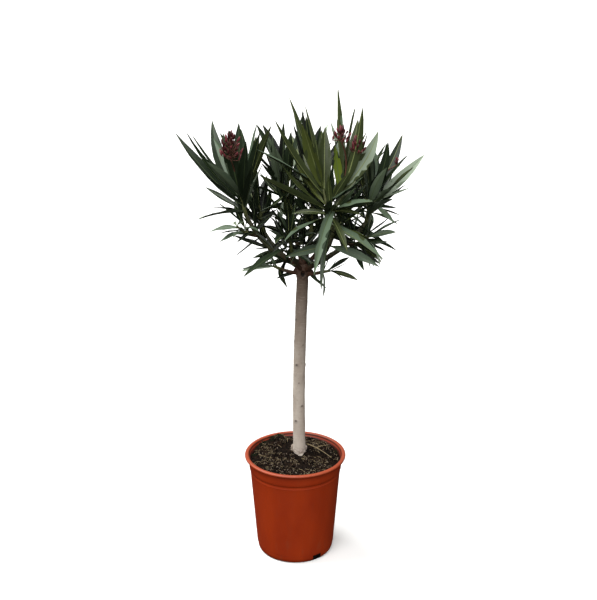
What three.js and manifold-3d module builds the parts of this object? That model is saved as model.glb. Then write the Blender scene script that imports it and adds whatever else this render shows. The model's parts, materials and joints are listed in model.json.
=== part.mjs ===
// Potted oleander grown as a standard: one clear stem, a head of long leaves, a plastic nursery pot.
// Millimetres, +Z up. The pot stands on z = 0 and its axis is x = y = 0.
import * as THREE from "three";
import { mergeVertices } from "three/addons/utils/BufferGeometryUtils.js";
import Module from "manifold-3d";

const wasm = await Module();
wasm.setup();

// ---------------------------------------------------------------- driving sizes
const GAP = 0.3; // clearance between pieces that touch
const SEED = 4127;
const EXACT = 1e-4; // points this close in a geometry are one point
const JOIN = { simplify: [0.05, 0.03, 0.08, 0.02, 0.12, 0.16], welds: [0.013, 0.019], apart: [0.002, 0.0031] };

// The pot: a moulded shell with a bevelled foot, a shallow band and a rolled lip.
const POT = {
  footRadius: 66,
  bevelHeight: 15,
  bevel: [[3.6, 2.4], [5.8, 7]], // the rounded foot: how far out and up it has come
  wallFoot: 72, // the wall's radius carried down to z = 0
  wallSlope: 0.078, // radius gained for each mm of height
  wall: 2.2,
  floor: 3,
  bandHeight: 170,
  bandStep: 1.4,
  bandEdge: 0.8, // half the height of the band's step
  lipUnder: 191.6,
  rimHeight: 197,
  rimRadius: 95,
  lipInner: 87.4,
  lipRound: 2, // the lip's rounding
  throat: 4, // how far below the lip the inside is straight again
  floorRound: 4.6,
  sides: 36,
};
const NOTCH = { count: 3, first: -55, width: 11, height: 6, depth: 4.5 };

// The peat: it fills the pot to a little under the rim, with a flat seat for the trunk.
const SOIL = { edge: 186.6, seat: 188, seatRadius: 21, lump: 2.6, rings: 6, sides: 24 };

// The trunk: from the flat cut on the peat up to the collar where the boughs part.
const TRUNK = {
  x: 8,
  y: 19,
  foot: SOIL.seat + GAP,
  height: 378,
  lean: 5.5, // shift of the fork along +x
  back: -8, // shift of the fork along y
  bend: 2.2,
  flare: 3.6,
  flareHeight: 22,
  lobes: 4, // the swellings round the flare
  lobeDepth: 0.07,
  footRadius: 12,
  topRadius: 10.6,
  collarRadius: 14.6,
  collarHeight: 26,
  capHeight: 6, // the rounded top of the collar
  cap: 0.62,
  rings: 12,
  sides: 12,
};
const SCAR = { azimuth: -90, drop: 16, width: 4.2, height: 6.4, depth: 5.6, sides: 8 };
const STUBS = [
  { azimuth: 205, drop: 15, length: 17, rise: 5, radius: 4.4, taper: 0.8 },
  { azimuth: -28, drop: 17, length: 20, rise: 5, radius: 5, taper: 0.8 },
];

// Twigs and leaves.
const TWIG = {
  sides: 5,
  steps: 4,
  tip: 1.9,
  side: 2.4,
  sideBow: 0.15,
  firstWhorl: 0.16, // where along a stem its leaves start
  sideWhorl: 0.5, // and along a side shoot
  lastWhorl: 0.97,
};
const LEAF = {
  widthRatio: 0.078, // half width over length
  widest: 11.6, // the most that half width can be
  keel: 0.017, // depth of the keel over length
  sunk: 1.4, // how far past the twig's middle a leaf's root lies
  stations: [0.34, 0.7],
  swell: [1, 0.8],
  least: 8, // the smallest angle between a leaf and its twig
  perWhorl: 3,
  longest: 0.45, // how far up a shoot its longest leaves are
  ends: 0.16, // how much shorter they get towards its ends
  bend: [0.3, 0.5, 0.5, 0.5], // how the droop is shared out along a leaf
  turns: [0, -9, 9, -18, 18, -30, 30], // degrees a crowded leaf is turned up or down
  shifts: [0, 18, -18, 36, -36], // degrees it is then moved round its twig
  shorten: 0.08,
  samples: 7,
  room: 0.9, // clearance kept on each side of the border between two masses
};
const VARY = { turn: 15, spread: 7, droop: 9, length: 0.12, twist: 0.35 };
const BUD = {
  length: 17,
  radius: 3.1,
  widest: 0.55, // where along the bud
  stalk: 20,
  stalkRadius: 0.9,
  stagger: [1.5, 1.25, 1], // stalk lengths, in turn
  sides: 4,
  turn: 2.4, // radians from one bud to the next
  spread: 46,
  sunk: 5,
};

// Each bough: the limb it parts from, how far along that, then its heading, reach and rise.
const BOUGHS = {
  bough_left: {
    from: "trunk", along: 0.985, az: 197, reach: 104, rise: 104, bow: 0.2, r0: 6.6, r1: 3.8,
  },
  bough_front: {
    from: "trunk", along: 0.965, az: -57, reach: 92, rise: 86, bow: 0.16, r0: 6.4, r1: 4.4,
  },
  bough_right: {
    from: "trunk", along: 0.975, az: -9, reach: 112, rise: 92, bow: 0.16, r0: 6.6, r1: 3.8,
  },
  bough_middle: {
    from: "trunk", along: 0.99, az: 112, reach: 36, rise: 44, bow: 0.05, r0: 6, r1: 3.8,
  },
  bough_centre: {
    from: "trunk", along: 1, az: 10, reach: 14, rise: 40, bow: 0, r0: 5.6, r1: 3.8,
  },
  bough_back_right: {
    from: "trunk", along: 0.98, az: 38, reach: 84, rise: 76, bow: 0.12, r0: 6, r1: 3.6,
  },
  bough_back_left: {
    from: "trunk", along: 0.97, az: 146, reach: 84, rise: 56, bow: 0.16, r0: 6, r1: 3.6,
  },
  bough_back: {
    from: "trunk", along: 0.965, az: 80, reach: 96, rise: 62, bow: 0.16, r0: 6, r1: 3.6,
  },
  bough_front_left: {
    from: "trunk", along: 0.96, az: 248, reach: 52, rise: 52, bow: 0.1, r0: 5, r1: 3.4,
  },
  bough_low_left: {
    from: "trunk", along: 0.95, az: 206, reach: 46, rise: 16, bow: 0.1, r0: 4.2, r1: 3.2,
  },
  bough_low_right: {
    from: "trunk", along: 0.945, az: -34, reach: 40, rise: 12, bow: 0.1, r0: 4.2, r1: 3.2,
  },
  bough_low_back: {
    from: "trunk", along: 0.945, az: 112, reach: 46, rise: 16, bow: 0.1, r0: 4.2, r1: 3.2,
  },
  bough_left_spur: {
    from: "bough_left", along: 0.7, az: 214, reach: 24, rise: 8, bow: 0.1, r0: 3.6, r1: 3,
  },
  bough_right_spur: {
    from: "bough_right", along: 0.62, az: -44, reach: 28, rise: 6, bow: 0.1, r0: 3.6, r1: 3,
  },
  bough_side_spur: {
    from: "bough_back_right", along: 0.6, az: 74, reach: 36, rise: 6, bow: 0.1, r0: 3.6, r1: 3,
  },
};
const BOUGH = { sides: 6, steps: 6 };

// Each mass: its bough, its stem's [heading, reach, rise], its side shoots as
// [place on the stem, heading, reach, rise, whorls], and its leaves and buds. spread is the
// leaf's angle to its twig and droop how far it falls over, each from the low whorl to the high.
const MASSES = {
  foliage_upper_left: {
    bough: "bough_left", stem: [205, 9, 38], whorls: 6, leaf: 149, spread: [56, 19], droop: [11, -14],
    sides: [[0.4, 70, 14, 22, 2]], buds: 6, turn: 117,
  },
  foliage_lower_left: {
    bough: "bough_left_spur", stem: [192, 18, 14], whorls: 4, leaf: 82, spread: [76, 43], droop: [24, 14],
    sides: [], buds: 0, turn: 33,
  },
  foliage_front: {
    bough: "bough_front", stem: [132, 24, 78], whorls: 8, leaf: 188, spread: [106, 18], droop: [28, -12],
    sides: [[0.4, 38, 30, 48, 4]], buds: 0, sideBuds: 5, turn: 15,
  },
  foliage_upper_right: {
    bough: "bough_right", stem: [-10, 8, 48], whorls: 6, leaf: 135, spread: [65, 15], droop: [3, -11],
    sides: [[0.4, 120, 14, 26, 2]], buds: 3, turn: 43,
  },
  foliage_lower_right: {
    bough: "bough_right_spur", stem: [-24, 18, 14], whorls: 4, leaf: 83, spread: [92, 45], droop: [16, 18],
    sides: [], buds: 0, turn: 29,
  },
  foliage_middle: {
    bough: "bough_middle", stem: [165, 16, 104], whorls: 8, leaf: 132, spread: [88, 21], droop: [17, -11],
    sides: [[0.6, 220, 20, 30, 2]], buds: 0, turn: 115,
  },
  foliage_centre: {
    bough: "bough_centre", stem: [60, 8, 112], whorls: 8, leaf: 125, spread: [98, 20], droop: [17, -9],
    sides: [], buds: 0, turn: 78,
  },
  foliage_back_right: {
    bough: "bough_back_right", stem: [30, 12, 66], whorls: 6, leaf: 136, spread: [83, 20], droop: [19, -8],
    sides: [], buds: 0, turn: 0,
  },
  foliage_back_left: {
    bough: "bough_back_left", stem: [170, 12, 62], whorls: 6, leaf: 136, spread: [73, 20], droop: [23, -12],
    sides: [], buds: 0, turn: 117,
  },
  foliage_back: {
    bough: "bough_back", stem: [90, 14, 66], whorls: 6, leaf: 145, spread: [73, 24], droop: [19, -5],
    sides: [], buds: 0, turn: 119,
  },
  foliage_front_left: {
    bough: "bough_front_left", stem: [240, 10, 34], whorls: 5, leaf: 105, spread: [83, 37], droop: [21, 6],
    sides: [], buds: 0, turn: 76,
  },
  foliage_low_left: {
    bough: "bough_low_left", stem: [200, 12, 6], whorls: 3, leaf: 69, spread: [72, 39], droop: [25, 15],
    sides: [], buds: 0, turn: 67,
  },
  foliage_low_right: {
    bough: "bough_low_right", stem: [-20, 16, 4], whorls: 3, leaf: 67, spread: [78, 40], droop: [25, 16],
    sides: [], buds: 0, turn: 114,
  },
  foliage_low_back: {
    bough: "bough_low_back", stem: [120, 22, 10], whorls: 3, leaf: 84, spread: [91, 46], droop: [19, 20],
    sides: [], buds: 0, turn: 44,
  },
  foliage_side: {
    bough: "bough_side_spur", stem: [60, 20, 16], whorls: 4, leaf: 104, spread: [82, 44], droop: [29, 16],
    sides: [], buds: 0, turn: 48,
  },
};

const LOOKS = {
  pot: { color: 0x8a3418, roughness: 0.5 },
  soil: { color: 0x2c2018, roughness: 0.95 },
  trunk: { color: 0x9b8f83, roughness: 0.8 },
  bough: { color: 0x5c5440, roughness: 0.75 },
  foliage: { color: 0x2c3d22, roughness: 0.45 },
};

// ---------------------------------------------------------------- small helpers
const EAST = new THREE.Vector3(1, 0, 0);
const NORTH = new THREE.Vector3(0, 1, 0);
const UP = new THREE.Vector3(0, 0, 1);
const radians = THREE.MathUtils.degToRad;
const mix = (a, b, t) => a + (b - a) * t;

/** A seeded stream of numbers from 0 to 1 (a linear congruential rule). */
class Draw {
  constructor(seed) {
    this.state = seed % 4294967296;
  }

  next() {
    this.state = (this.state * 1664525 + 1013904223) % 4294967296;
    return this.state / 4294967296;
  }

  swing(size) {
    return (this.next() * 2 - 1) * size;
  }
}

/** The flat heading at an azimuth in degrees. */
const flat = (azimuth) => new THREE.Vector3(Math.cos(radians(azimuth)), Math.sin(radians(azimuth)), 0);

/** A point moved along a direction. */
const moved = (point, direction, distance) => point.clone().addScaledVector(direction, distance);

/** Two directions square to an axis, the first as near to a wish as it can be. */
function frameFor(axis, wish) {
  const side = wish.clone().addScaledVector(axis, -wish.dot(axis));
  if (side.length() < 1e-6) {
    side.copy(EAST).addScaledVector(axis, -axis.x);
  }
  side.normalize();
  return [side, new THREE.Vector3().crossVectors(axis, side)];
}

/** A curve from a start that runs out first and then up, as points. */
function limbPath(start, { az, reach, rise, bow }, steps) {
  const out = flat(az);
  const middle = moved(moved(start, out, reach * (0.5 + bow)), UP, rise * (0.5 - bow));
  const end = moved(moved(start, out, reach), UP, rise);
  return new THREE.QuadraticBezierCurve3(start, middle, end).getPoints(steps);
}

/** The point at a share of a path counted by its steps. */
function pointAlong(path, share) {
  const place = share * (path.length - 1);
  const index = Math.min(Math.floor(place), path.length - 2);
  return path[index].clone().lerp(path[index + 1], place - index);
}

/** The direction of a path at one of its points. */
function directionAt(path, index) {
  const before = path[Math.max(index - 1, 0)];
  const after = path[Math.min(index + 1, path.length - 1)];
  return after.clone().sub(before).normalize();
}

// ---------------------------------------------------------------- geometries and solids
/** A closed skin through rings of points that turn right-handed about the way they travel. */
class LoftGeometry extends THREE.BufferGeometry {
  constructor(rings) {
    super();
    this.setFromPoints(rings.flat());
    const starts = rings.map((_, k) => rings.slice(0, k).reduce((sum, ring) => sum + ring.length, 0));
    const last = rings.length - 1;
    const triangles = this.cap(starts[0], rings[0].length, true);
    for (let k = 0; k < last; k += 1) {
      triangles.push(...this.band(starts[k], rings[k].length, starts[k + 1], rings[k + 1].length));
    }
    triangles.push(...this.cap(starts[last], rings[last].length, false));
    this.setIndex(triangles);
  }

  /** The triangles between two rings, either of which may be a single point. */
  band(start, count, nextStart, nextCount) {
    const many = Math.max(count, nextCount);
    return Array.from({ length: many }, (_, i) => {
      const j = (i + 1) % many;
      const [a, b] = count > 1 ? [start + i, start + j] : [start, start];
      const [d, c] = nextCount > 1 ? [nextStart + i, nextStart + j] : [nextStart, nextStart];
      return [...(a === b ? [] : [a, b, c]), ...(c === d ? [] : [a, c, d])];
    }).flat();
  }

  /** A fan that closes an end ring. */
  cap(start, count, first) {
    return Array.from({ length: Math.max(count - 2, 0) }, (_, i) => (
      first ? [start, start + i + 2, start + i + 1] : [start, start + i + 1, start + i + 2]
    )).flat();
  }
}

/** A closed three.js geometry as a solid, with points that lie closer than a tolerance made one. */
function solidOf(geometry, tolerance = EXACT) {
  const bare = new THREE.BufferGeometry();
  bare.setAttribute("position", geometry.getAttribute("position").clone());
  bare.setIndex(geometry.getIndex().clone());
  const merged = mergeVertices(bare, tolerance);
  const index = Array.from(merged.getIndex().array);
  const triangles = index.filter((_, i) => {
    const [a, b, c] = index.slice(i - (i % 3), i - (i % 3) + 3);
    return a !== b && b !== c && c !== a;
  });
  const vertProperties = new Float32Array(merged.getAttribute("position").array);
  const triVerts = new Uint32Array(triangles);
  return new wasm.Manifold(new wasm.Mesh({ numProp: 3, vertProperties, triVerts }));
}

/** A ring of points round a centre, with a radius for each. */
function ringOf(centre, side, other, sides, radiusAt) {
  return Array.from({ length: sides }, (_, i) => {
    const angle = (i / sides) * Math.PI * 2;
    const radius = radiusAt(angle);
    return moved(moved(centre, side, Math.cos(angle) * radius), other, Math.sin(angle) * radius);
  });
}

/** A level ring of points round a centre. */
const levelRing = (centre, sides, radiusAt) => ringOf(centre, EAST, NORTH, sides, radiusAt);

/** A tapering round limb along a path; its first end can be cut square to a given axis. */
function tube(path, startRadius, endRadius, sides, firstAxis = directionAt(path, 0)) {
  let wish = new THREE.Vector3(0.3, 1, 0.2);
  const rings = path.map((point, i) => {
    const [side, other] = frameFor(i === 0 ? firstAxis : directionAt(path, i), wish);
    wish = side;
    const radius = mix(startRadius, endRadius, i / (path.length - 1));
    return ringOf(point, side, other, sides, () => radius);
  });
  return solidOf(new LoftGeometry(rings));
}

/** The same path carried on by a little at both ends. */
function stretched(path, extra) {
  const longer = path.map((point) => point.clone());
  longer[0].addScaledVector(directionAt(path, 0), -extra);
  longer.at(-1).addScaledVector(directionAt(path, path.length - 1), extra);
  return longer;
}

/** A solid turned about the upright axis from a profile of [radius, height] pairs. */
function turned(profile, sides) {
  const points = profile.map(([radius, height]) => new THREE.Vector2(radius, height));
  return solidOf(new THREE.LatheGeometry(points, sides).rotateX(Math.PI / 2));
}

/** A solid's surface as a three.js geometry. */
function geometryOf(solid) {
  const { vertProperties, triVerts } = solid.getMesh();
  const geometry = new THREE.BufferGeometry();
  geometry.setAttribute("position", new THREE.BufferAttribute(new Float32Array(vertProperties), 3));
  geometry.setIndex(new THREE.BufferAttribute(new Uint32Array(triVerts), 1));
  return geometry;
}

/** Whether no two of a solid's points nearly touch. */
function wellSpaced(solid) {
  const geometry = geometryOf(solid);
  const count = geometry.getAttribute("position").count;
  return JOIN.apart.every((gap) => mergeVertices(geometry, gap).getAttribute("position").count === count);
}

/** A joined solid without the needless edges and near-touching points that joining leaves. */
function cleaned(solid) {
  const whole = solid.asOriginal();
  const tries = JOIN.simplify.map((size) => {
    const simple = largest(whole.simplify(size));
    return largest(JOIN.welds.reduce((rest, weld) => solidOf(geometryOf(rest), weld), simple));
  });
  return tries.find(wellSpaced) ?? tries[0];
}

/** The largest of the bodies that a cut leaves. */
function largest(solid) {
  return solid.decompose().reduce((best, piece) => (piece.volume() > best.volume() ? piece : best));
}

/** A named mesh with its own plain material. */
function nodeOf(name, solid, look) {
  const geometry = geometryOf(solid);
  geometry.computeVertexNormals();
  const mesh = new THREE.Mesh(geometry, new THREE.MeshStandardMaterial({ ...look, metalness: 0 }));
  mesh.name = name;
  return mesh;
}

// ---------------------------------------------------------------- pot and peat
/** The wall's outer radius at a height. */
const wallRadius = (height) => POT.wallFoot + POT.wallSlope * height;

/** The moulded pot: up the outside, over the rolled lip and down the inside to the floor. */
function buildPot() {
  const { wall, floor, bevelHeight, footRadius, bandHeight, bandStep, bandEdge, floorRound } = POT;
  const { lipUnder, lipInner, lipRound, rimHeight, rimRadius, throat } = POT;
  const inside = (height) => wallRadius(height) - wall;
  const shell = turned([
    [0, 0],
    [footRadius, 0],
    ...POT.bevel.map(([out, up]) => [footRadius + out, up]),
    [wallRadius(bevelHeight), bevelHeight],
    [wallRadius(bandHeight - bandEdge), bandHeight - bandEdge],
    [wallRadius(bandHeight) + bandStep, bandHeight + bandEdge],
    [wallRadius(lipUnder) + bandStep, lipUnder],
    [rimRadius - lipRound / 2, lipUnder],
    [rimRadius, lipUnder + lipRound],
    [rimRadius - lipRound / 3, rimHeight - lipRound / 2],
    [rimRadius - lipRound, rimHeight],
    [lipInner + lipRound, rimHeight - lipRound / 4],
    [lipInner, rimHeight - lipRound],
    [inside(lipUnder - throat), lipUnder - throat],
    [inside(bevelHeight), bevelHeight],
    [inside(bevelHeight) - floorRound, floor + lipRound],
    [footRadius - floorRound, floor],
    [0, floor],
  ], POT.sides);
  const notches = Array.from({ length: NOTCH.count }, (_, k) => {
    const box = new THREE.BoxGeometry(NOTCH.depth * 4, NOTCH.width, NOTCH.height * 2);
    box.translate(footRadius + NOTCH.depth * 1.8, 0, 0);
    box.rotateZ(radians(NOTCH.first + (k * 360) / NOTCH.count));
    return solidOf(box);
  });
  return notches.reduce((pot, notch) => pot.subtract(notch), shell);
}

/** The peat: a plug that clears the pot all round, with a lumpy top and a flat seat. */
function buildSoil() {
  const draw = new Draw(SEED);
  const { floor, bevelHeight, footRadius, floorRound, lipRound, wall } = POT;
  const inside = (height) => wallRadius(height) - wall - 2 * GAP;
  const disc = (radius, height) => levelRing(new THREE.Vector3(0, 0, height), SOIL.sides, () => radius);
  const seat = levelRing(new THREE.Vector3(TRUNK.x, TRUNK.y, SOIL.seat), SOIL.sides, () => SOIL.seatRadius);
  const edge = disc(inside(SOIL.edge), SOIL.edge);
  const slope = Array.from({ length: SOIL.rings - 1 }, (_, k) => {
    const share = (k + 1) / SOIL.rings;
    return edge.map((point, i) => {
      const spot = point.clone().lerp(seat[i], share);
      spot.z += draw.swing(SOIL.lump) * Math.sin(Math.PI * share);
      return spot;
    });
  });
  return solidOf(new LoftGeometry([
    [new THREE.Vector3(0, 0, floor + GAP)],
    disc(footRadius - floorRound - GAP, floor + GAP),
    disc(inside(bevelHeight) - floorRound, floor + lipRound + GAP),
    disc(inside(bevelHeight), bevelHeight),
    edge,
    ...slope,
    seat,
  ]));
}

// ---------------------------------------------------------------- trunk and boughs
/** The trunk's centre line from the flat cut to the fork. */
function trunkPath() {
  return Array.from({ length: TRUNK.rings + 1 }, (_, i) => {
    const t = i / TRUNK.rings;
    const sway = Math.sin(t * Math.PI * 1.6) * TRUNK.bend;
    const x = TRUNK.x + TRUNK.lean * t ** 3 - sway * 0.5;
    return new THREE.Vector3(x, TRUNK.y + TRUNK.back * t - sway, TRUNK.foot + TRUNK.height * t);
  });
}

/** The trunk's radius at a height above the cut. */
function trunkRadius(height) {
  const share = height / TRUNK.height;
  const flare = TRUNK.flare * Math.max(0, 1 - height / TRUNK.flareHeight) ** 2;
  const below = (TRUNK.height - height) / TRUNK.collarHeight;
  const collar = (TRUNK.collarRadius - TRUNK.topRadius) * Math.max(0, 1 - below) ** 0.7;
  const close = TRUNK.height - height < GAP ? TRUNK.cap : 1;
  return (mix(TRUNK.footRadius, TRUNK.topRadius, share) + flare + collar) * close;
}

/** The trunk with its root flare and collar, grown by a margin. */
function trunkSolid(path, grow) {
  const heights = path.map((point) => point.z - TRUNK.foot);
  heights.splice(1, 0, TRUNK.flareHeight / 3);
  heights.splice(-1, 0, TRUNK.height - TRUNK.capHeight);
  const rings = heights.map((height, i) => {
    const centre = pointAlong(path, height / TRUNK.height);
    centre.z += i === heights.length - 1 ? grow : 0;
    centre.z -= i === 0 ? grow : 0;
    const radius = trunkRadius(height) + grow;
    const lobes = Math.max(0, 1 - height / TRUNK.flareHeight) * TRUNK.lobeDepth;
    return levelRing(centre, TRUNK.sides, (angle) => radius * (1 + lobes * Math.sin(angle * TRUNK.lobes)));
  });
  return solidOf(new LoftGeometry(rings));
}

/** The pruned stubs left on the collar. */
function stubSolids(path, grow) {
  return STUBS.map((stub) => {
    const start = pointAlong(path, 1 - stub.drop / TRUNK.height);
    const line = limbPath(start, { az: stub.azimuth, reach: stub.length, rise: stub.rise, bow: 0 }, 2);
    return tube(stretched(line, grow), stub.radius + grow, stub.radius * stub.taper + grow, BOUGH.sides);
  });
}

/** The trunk as it stands: collar, stubs and the hollow of the pruning scar. */
function buildTrunk(path) {
  const joined = stubSolids(path, 0).reduce((trunk, stub) => trunk.add(stub), trunkSolid(path, 0));
  const middle = pointAlong(path, 1 - SCAR.drop / TRUNK.height);
  const face = moved(middle, flat(SCAR.azimuth), TRUNK.collarRadius);
  const hollow = new THREE.SphereGeometry(1, SCAR.sides, SCAR.sides - 2);
  hollow.scale(SCAR.width, SCAR.depth, SCAR.height);
  hollow.translate(face.x, face.y, face.z);
  return joined.subtract(solidOf(hollow));
}

/** Every bough's centre line, each starting on the limb it parts from. */
function boughPaths(trunk) {
  const paths = { trunk };
  Object.entries(BOUGHS).forEach(([name, bough]) => {
    paths[name] = limbPath(pointAlong(paths[bough.from], bough.along), bough, BOUGH.steps);
  });
  return paths;
}

/** The boughs as solids, each cut clear of the trunk and of the boughs before it. */
function buildBoughs(paths) {
  const grown = [trunkSolid(paths.trunk, GAP), ...stubSolids(paths.trunk, GAP)];
  return Object.entries(BOUGHS).map(([name, { r0, r1 }]) => {
    const whole = tube(paths[name], r0, r1, BOUGH.sides);
    const solid = cleaned(grown.reduce((rest, other) => rest.subtract(other), whole));
    grown.push(tube(stretched(paths[name], GAP), r0 + GAP, r1 + GAP, BOUGH.sides));
    return { name, solid };
  });
}

// ---------------------------------------------------------------- foliage
/** The shoots of every mass: its stem 0.3 mm beyond the bough's tip, then its side shoots. */
function growShoots(paths) {
  const crown = {};
  Object.entries(MASSES).forEach(([name, mass]) => {
    const bough = paths[mass.bough];
    const axis = directionAt(bough, bough.length - 1);
    const tip = moved(bough.at(-1), axis, GAP);
    const [az, reach, rise] = mass.stem;
    const stem = limbPath(tip, { az, reach, rise, bow: 0 }, TWIG.steps);
    const radius = BOUGHS[mass.bough].r1;
    const { whorls, buds, sideBuds = 0 } = mass;
    const shoots = [{ path: stem, axis, r0: radius, r1: TWIG.tip, whorls, first: TWIG.firstWhorl, buds }];
    mass.sides.forEach(([along, heading, out, up, sideWhorls]) => {
      const side = { az: heading, reach: out, rise: up, bow: TWIG.sideBow };
      const path = limbPath(pointAlong(stem, along), side, TWIG.steps);
      shoots.push({
        path, r0: TWIG.side, r1: TWIG.tip, whorls: sideWhorls, first: TWIG.sideWhorl, buds: sideBuds,
      });
    });
    crown[name] = { mass, shoots };
  });
  return crown;
}

/** The distance from a point to the nearest of a mass's shoots. */
function shootDistance(point, shoots) {
  return Math.min(...shoots.flatMap(({ path }) => path.map((place) => place.distanceTo(point))));
}

/** Whether a point keeps to its own mass's space and clears every limb. */
function fits(point, own, crown, limbs) {
  const near = shootDistance(point, crown[own].shoots);
  const alone = Object.keys(crown).every(
    (name) => name === own || shootDistance(point, crown[name].shoots) > near + 2 * LEAF.room);
  return alone && limbs.every(({ line, radius }) => {
    const closest = line.closestPointToPoint(point, true, new THREE.Vector3());
    return closest.distanceTo(point) > radius + 2 * LEAF.room;
  });
}

/** The limbs as straight lengths with a radius, for keeping clear of them. */
function limbLines(paths) {
  return Object.entries(paths).flatMap(([name, path]) => path.slice(1).map((end, i) => ({
    line: new THREE.Line3(path[i], end),
    radius: name === "trunk" ? trunkRadius(end.z - TRUNK.foot) + 1 : BOUGHS[name].r0,
  })));
}

/** The rings of a leaf: stalk, two stations and the tip, with a keel under the midrib. */
function leafRings(root, axis, leaf) {
  const { angle, spread, droop, length, twist } = leaf;
  const [side, other] = frameFor(axis, EAST);
  const out = side.multiplyScalar(Math.cos(angle)).addScaledVector(other, Math.sin(angle));
  const lean = radians(spread);
  const heading = axis.clone().multiplyScalar(Math.cos(lean)).addScaledVector(out, Math.sin(lean));
  const across = new THREE.Vector3().crossVectors(out, axis).applyAxisAngle(heading, twist).normalize();
  const shares = [0, ...LEAF.stations, 1];
  const spot = moved(root, out, -LEAF.sunk);
  return shares.map((share, k) => {
    if (k > 0) {
      spot.addScaledVector(heading, (share - shares[k - 1]) * length);
    }
    const down = new THREE.Vector3().crossVectors(heading, across).normalize();
    const wide = (LEAF.swell[k - 1] ?? 0) * Math.min(LEAF.widthRatio * length, LEAF.widest);
    const deep = LEAF.keel * length;
    const centre = spot.clone();
    heading.addScaledVector(UP, -Math.sin(radians(droop)) * LEAF.bend[k]).normalize();
    if (wide === 0) {
      return [centre];
    }
    return [moved(centre, across, wide), moved(centre, down, deep), moved(centre, across, -wide)];
  });
}

/** Points over a leaf, beyond its stalk, for testing the room it has. */
function leafPoints(rings) {
  const points = [];
  for (let k = 1; k < rings.length; k += 1) {
    for (let i = 0; i < 3; i += 1) {
      const from = rings[k - 1][i] ?? rings[k - 1][0];
      const to = rings[k][i] ?? rings[k][0];
      for (let n = k === 1 ? 3 : 1; n <= LEAF.samples; n += 1) {
        points.push(from.clone().lerp(to, n / LEAF.samples));
      }
    }
  }
  return points;
}

/** A leaf turned up, down and round its twig until it has room; or nothing. */
function placeLeaf(root, axis, wish, own, crown, limbs) {
  for (const shift of LEAF.shifts) {
    for (const [k, turn] of LEAF.turns.entries()) {
      const rings = leafRings(root, axis, {
        angle: wish.angle + radians(shift),
        spread: Math.max(wish.spread + turn, LEAF.least),
        droop: wish.droop + turn,
        length: wish.length * (1 - LEAF.shorten * k),
        twist: wish.twist,
      });
      if (leafPoints(rings).every((point) => fits(point, own, crown, limbs))) {
        return rings;
      }
    }
  }
  return null;
}

/** The leaves of one shoot, in whorls that close up and turn upright towards its tip. */
function growLeaves(shoot, own, crown, limbs, draw) {
  const { mass } = crown[own];
  const leaves = [];
  for (let w = 0; w < shoot.whorls; w += 1) {
    const climb = shoot.whorls > 1 ? w / (shoot.whorls - 1) : 1;
    const share = mix(shoot.first, TWIG.lastWhorl, climb);
    const root = pointAlong(shoot.path, share);
    const axis = directionAt(shoot.path, Math.round(share * (shoot.path.length - 1)));
    for (let i = 0; i < LEAF.perWhorl; i += 1) {
      const turn = mass.turn + (w / 2 + i) * (360 / LEAF.perWhorl);
      const wish = {
        angle: radians(turn + draw.swing(VARY.turn)),
        spread: mix(...mass.spread, climb) + draw.swing(VARY.spread),
        droop: mix(...mass.droop, climb) + draw.swing(VARY.droop),
        length: mass.leaf * (1 - LEAF.ends * Math.abs(climb - LEAF.longest)) * (1 + draw.swing(VARY.length)),
        twist: draw.swing(VARY.twist),
      };
      const rings = placeLeaf(root, axis, wish, own, crown, limbs);
      if (rings) {
        leaves.push(solidOf(new LoftGeometry(rings)));
      }
    }
  }
  return leaves;
}

/** A cluster of closed flower buds on short stalks at a shoot's tip. */
function growBuds(shoot, draw) {
  const axis = directionAt(shoot.path, shoot.path.length - 1);
  const [side, other] = frameFor(axis, EAST);
  const base = moved(shoot.path.at(-1), axis, -BUD.sunk);
  return Array.from({ length: shoot.buds }, (_, k) => {
    const angle = k * BUD.turn + draw.swing(VARY.twist);
    const lean = radians(BUD.spread * Math.sqrt((k + VARY.twist) / shoot.buds));
    const out = side.clone().multiplyScalar(Math.cos(angle)).addScaledVector(other, Math.sin(angle));
    const heading = axis.clone().multiplyScalar(Math.cos(lean)).addScaledVector(out, Math.sin(lean));
    const reach = BUD.stalk * BUD.stagger[k % BUD.stagger.length] + BUD.sunk;
    const [across, beside] = frameFor(heading, UP);
    const ring = (distance, radius) => ringOf(
      moved(base, heading, distance), across, beside, BUD.sides, () => radius);
    return solidOf(new LoftGeometry([
      ring(0, BUD.stalkRadius),
      ring(reach, BUD.stalkRadius),
      ring(reach + BUD.length * BUD.widest, BUD.radius),
      [moved(base, heading, reach + BUD.length)],
    ]));
  });
}

/** One mass: its twigs, leaves and buds joined to a single solid. */
function buildMass(own, crown, limbs, seed) {
  const draw = new Draw(seed);
  const parts = crown[own].shoots.flatMap((shoot) => [
    tube(shoot.path, shoot.r0, shoot.r1, TWIG.sides, shoot.axis),
    ...growLeaves(shoot, own, crown, limbs, draw),
    ...growBuds(shoot, draw),
  ]);
  return cleaned(wasm.Manifold.union(parts));
}

// ---------------------------------------------------------------- the whole plant
const trunkLine = trunkPath();
const limbPaths = boughPaths(trunkLine);
const crownShoots = growShoots(limbPaths);
const lines = limbLines(limbPaths);

const group = new THREE.Group();
group.name = "potted_oleander";
group.add(nodeOf("pot", buildPot(), LOOKS.pot));
group.add(nodeOf("soil", buildSoil(), LOOKS.soil));
group.add(nodeOf("trunk", buildTrunk(trunkLine), LOOKS.trunk));
buildBoughs(limbPaths).forEach(({ name, solid }) => group.add(nodeOf(name, solid, LOOKS.bough)));
Object.keys(MASSES).forEach((name, k) => {
  group.add(nodeOf(name, buildMass(name, crownShoots, lines, SEED + 101 * (k + 1)), LOOKS.foliage));
});

export default group;
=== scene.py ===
"""A potted oleander grown as a standard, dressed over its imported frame.

One clear stem rises from a terracotta-coloured nursery pot to a fork, and its boughs carry
long leaves in whorls of three with clusters of closed crimson buds. Sizes are in millimetres
until a mesh is made, and then in metres.
"""
import json
import logging
import math
from collections.abc import Callable, Sequence
from dataclasses import dataclass
from enum import Enum

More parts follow.
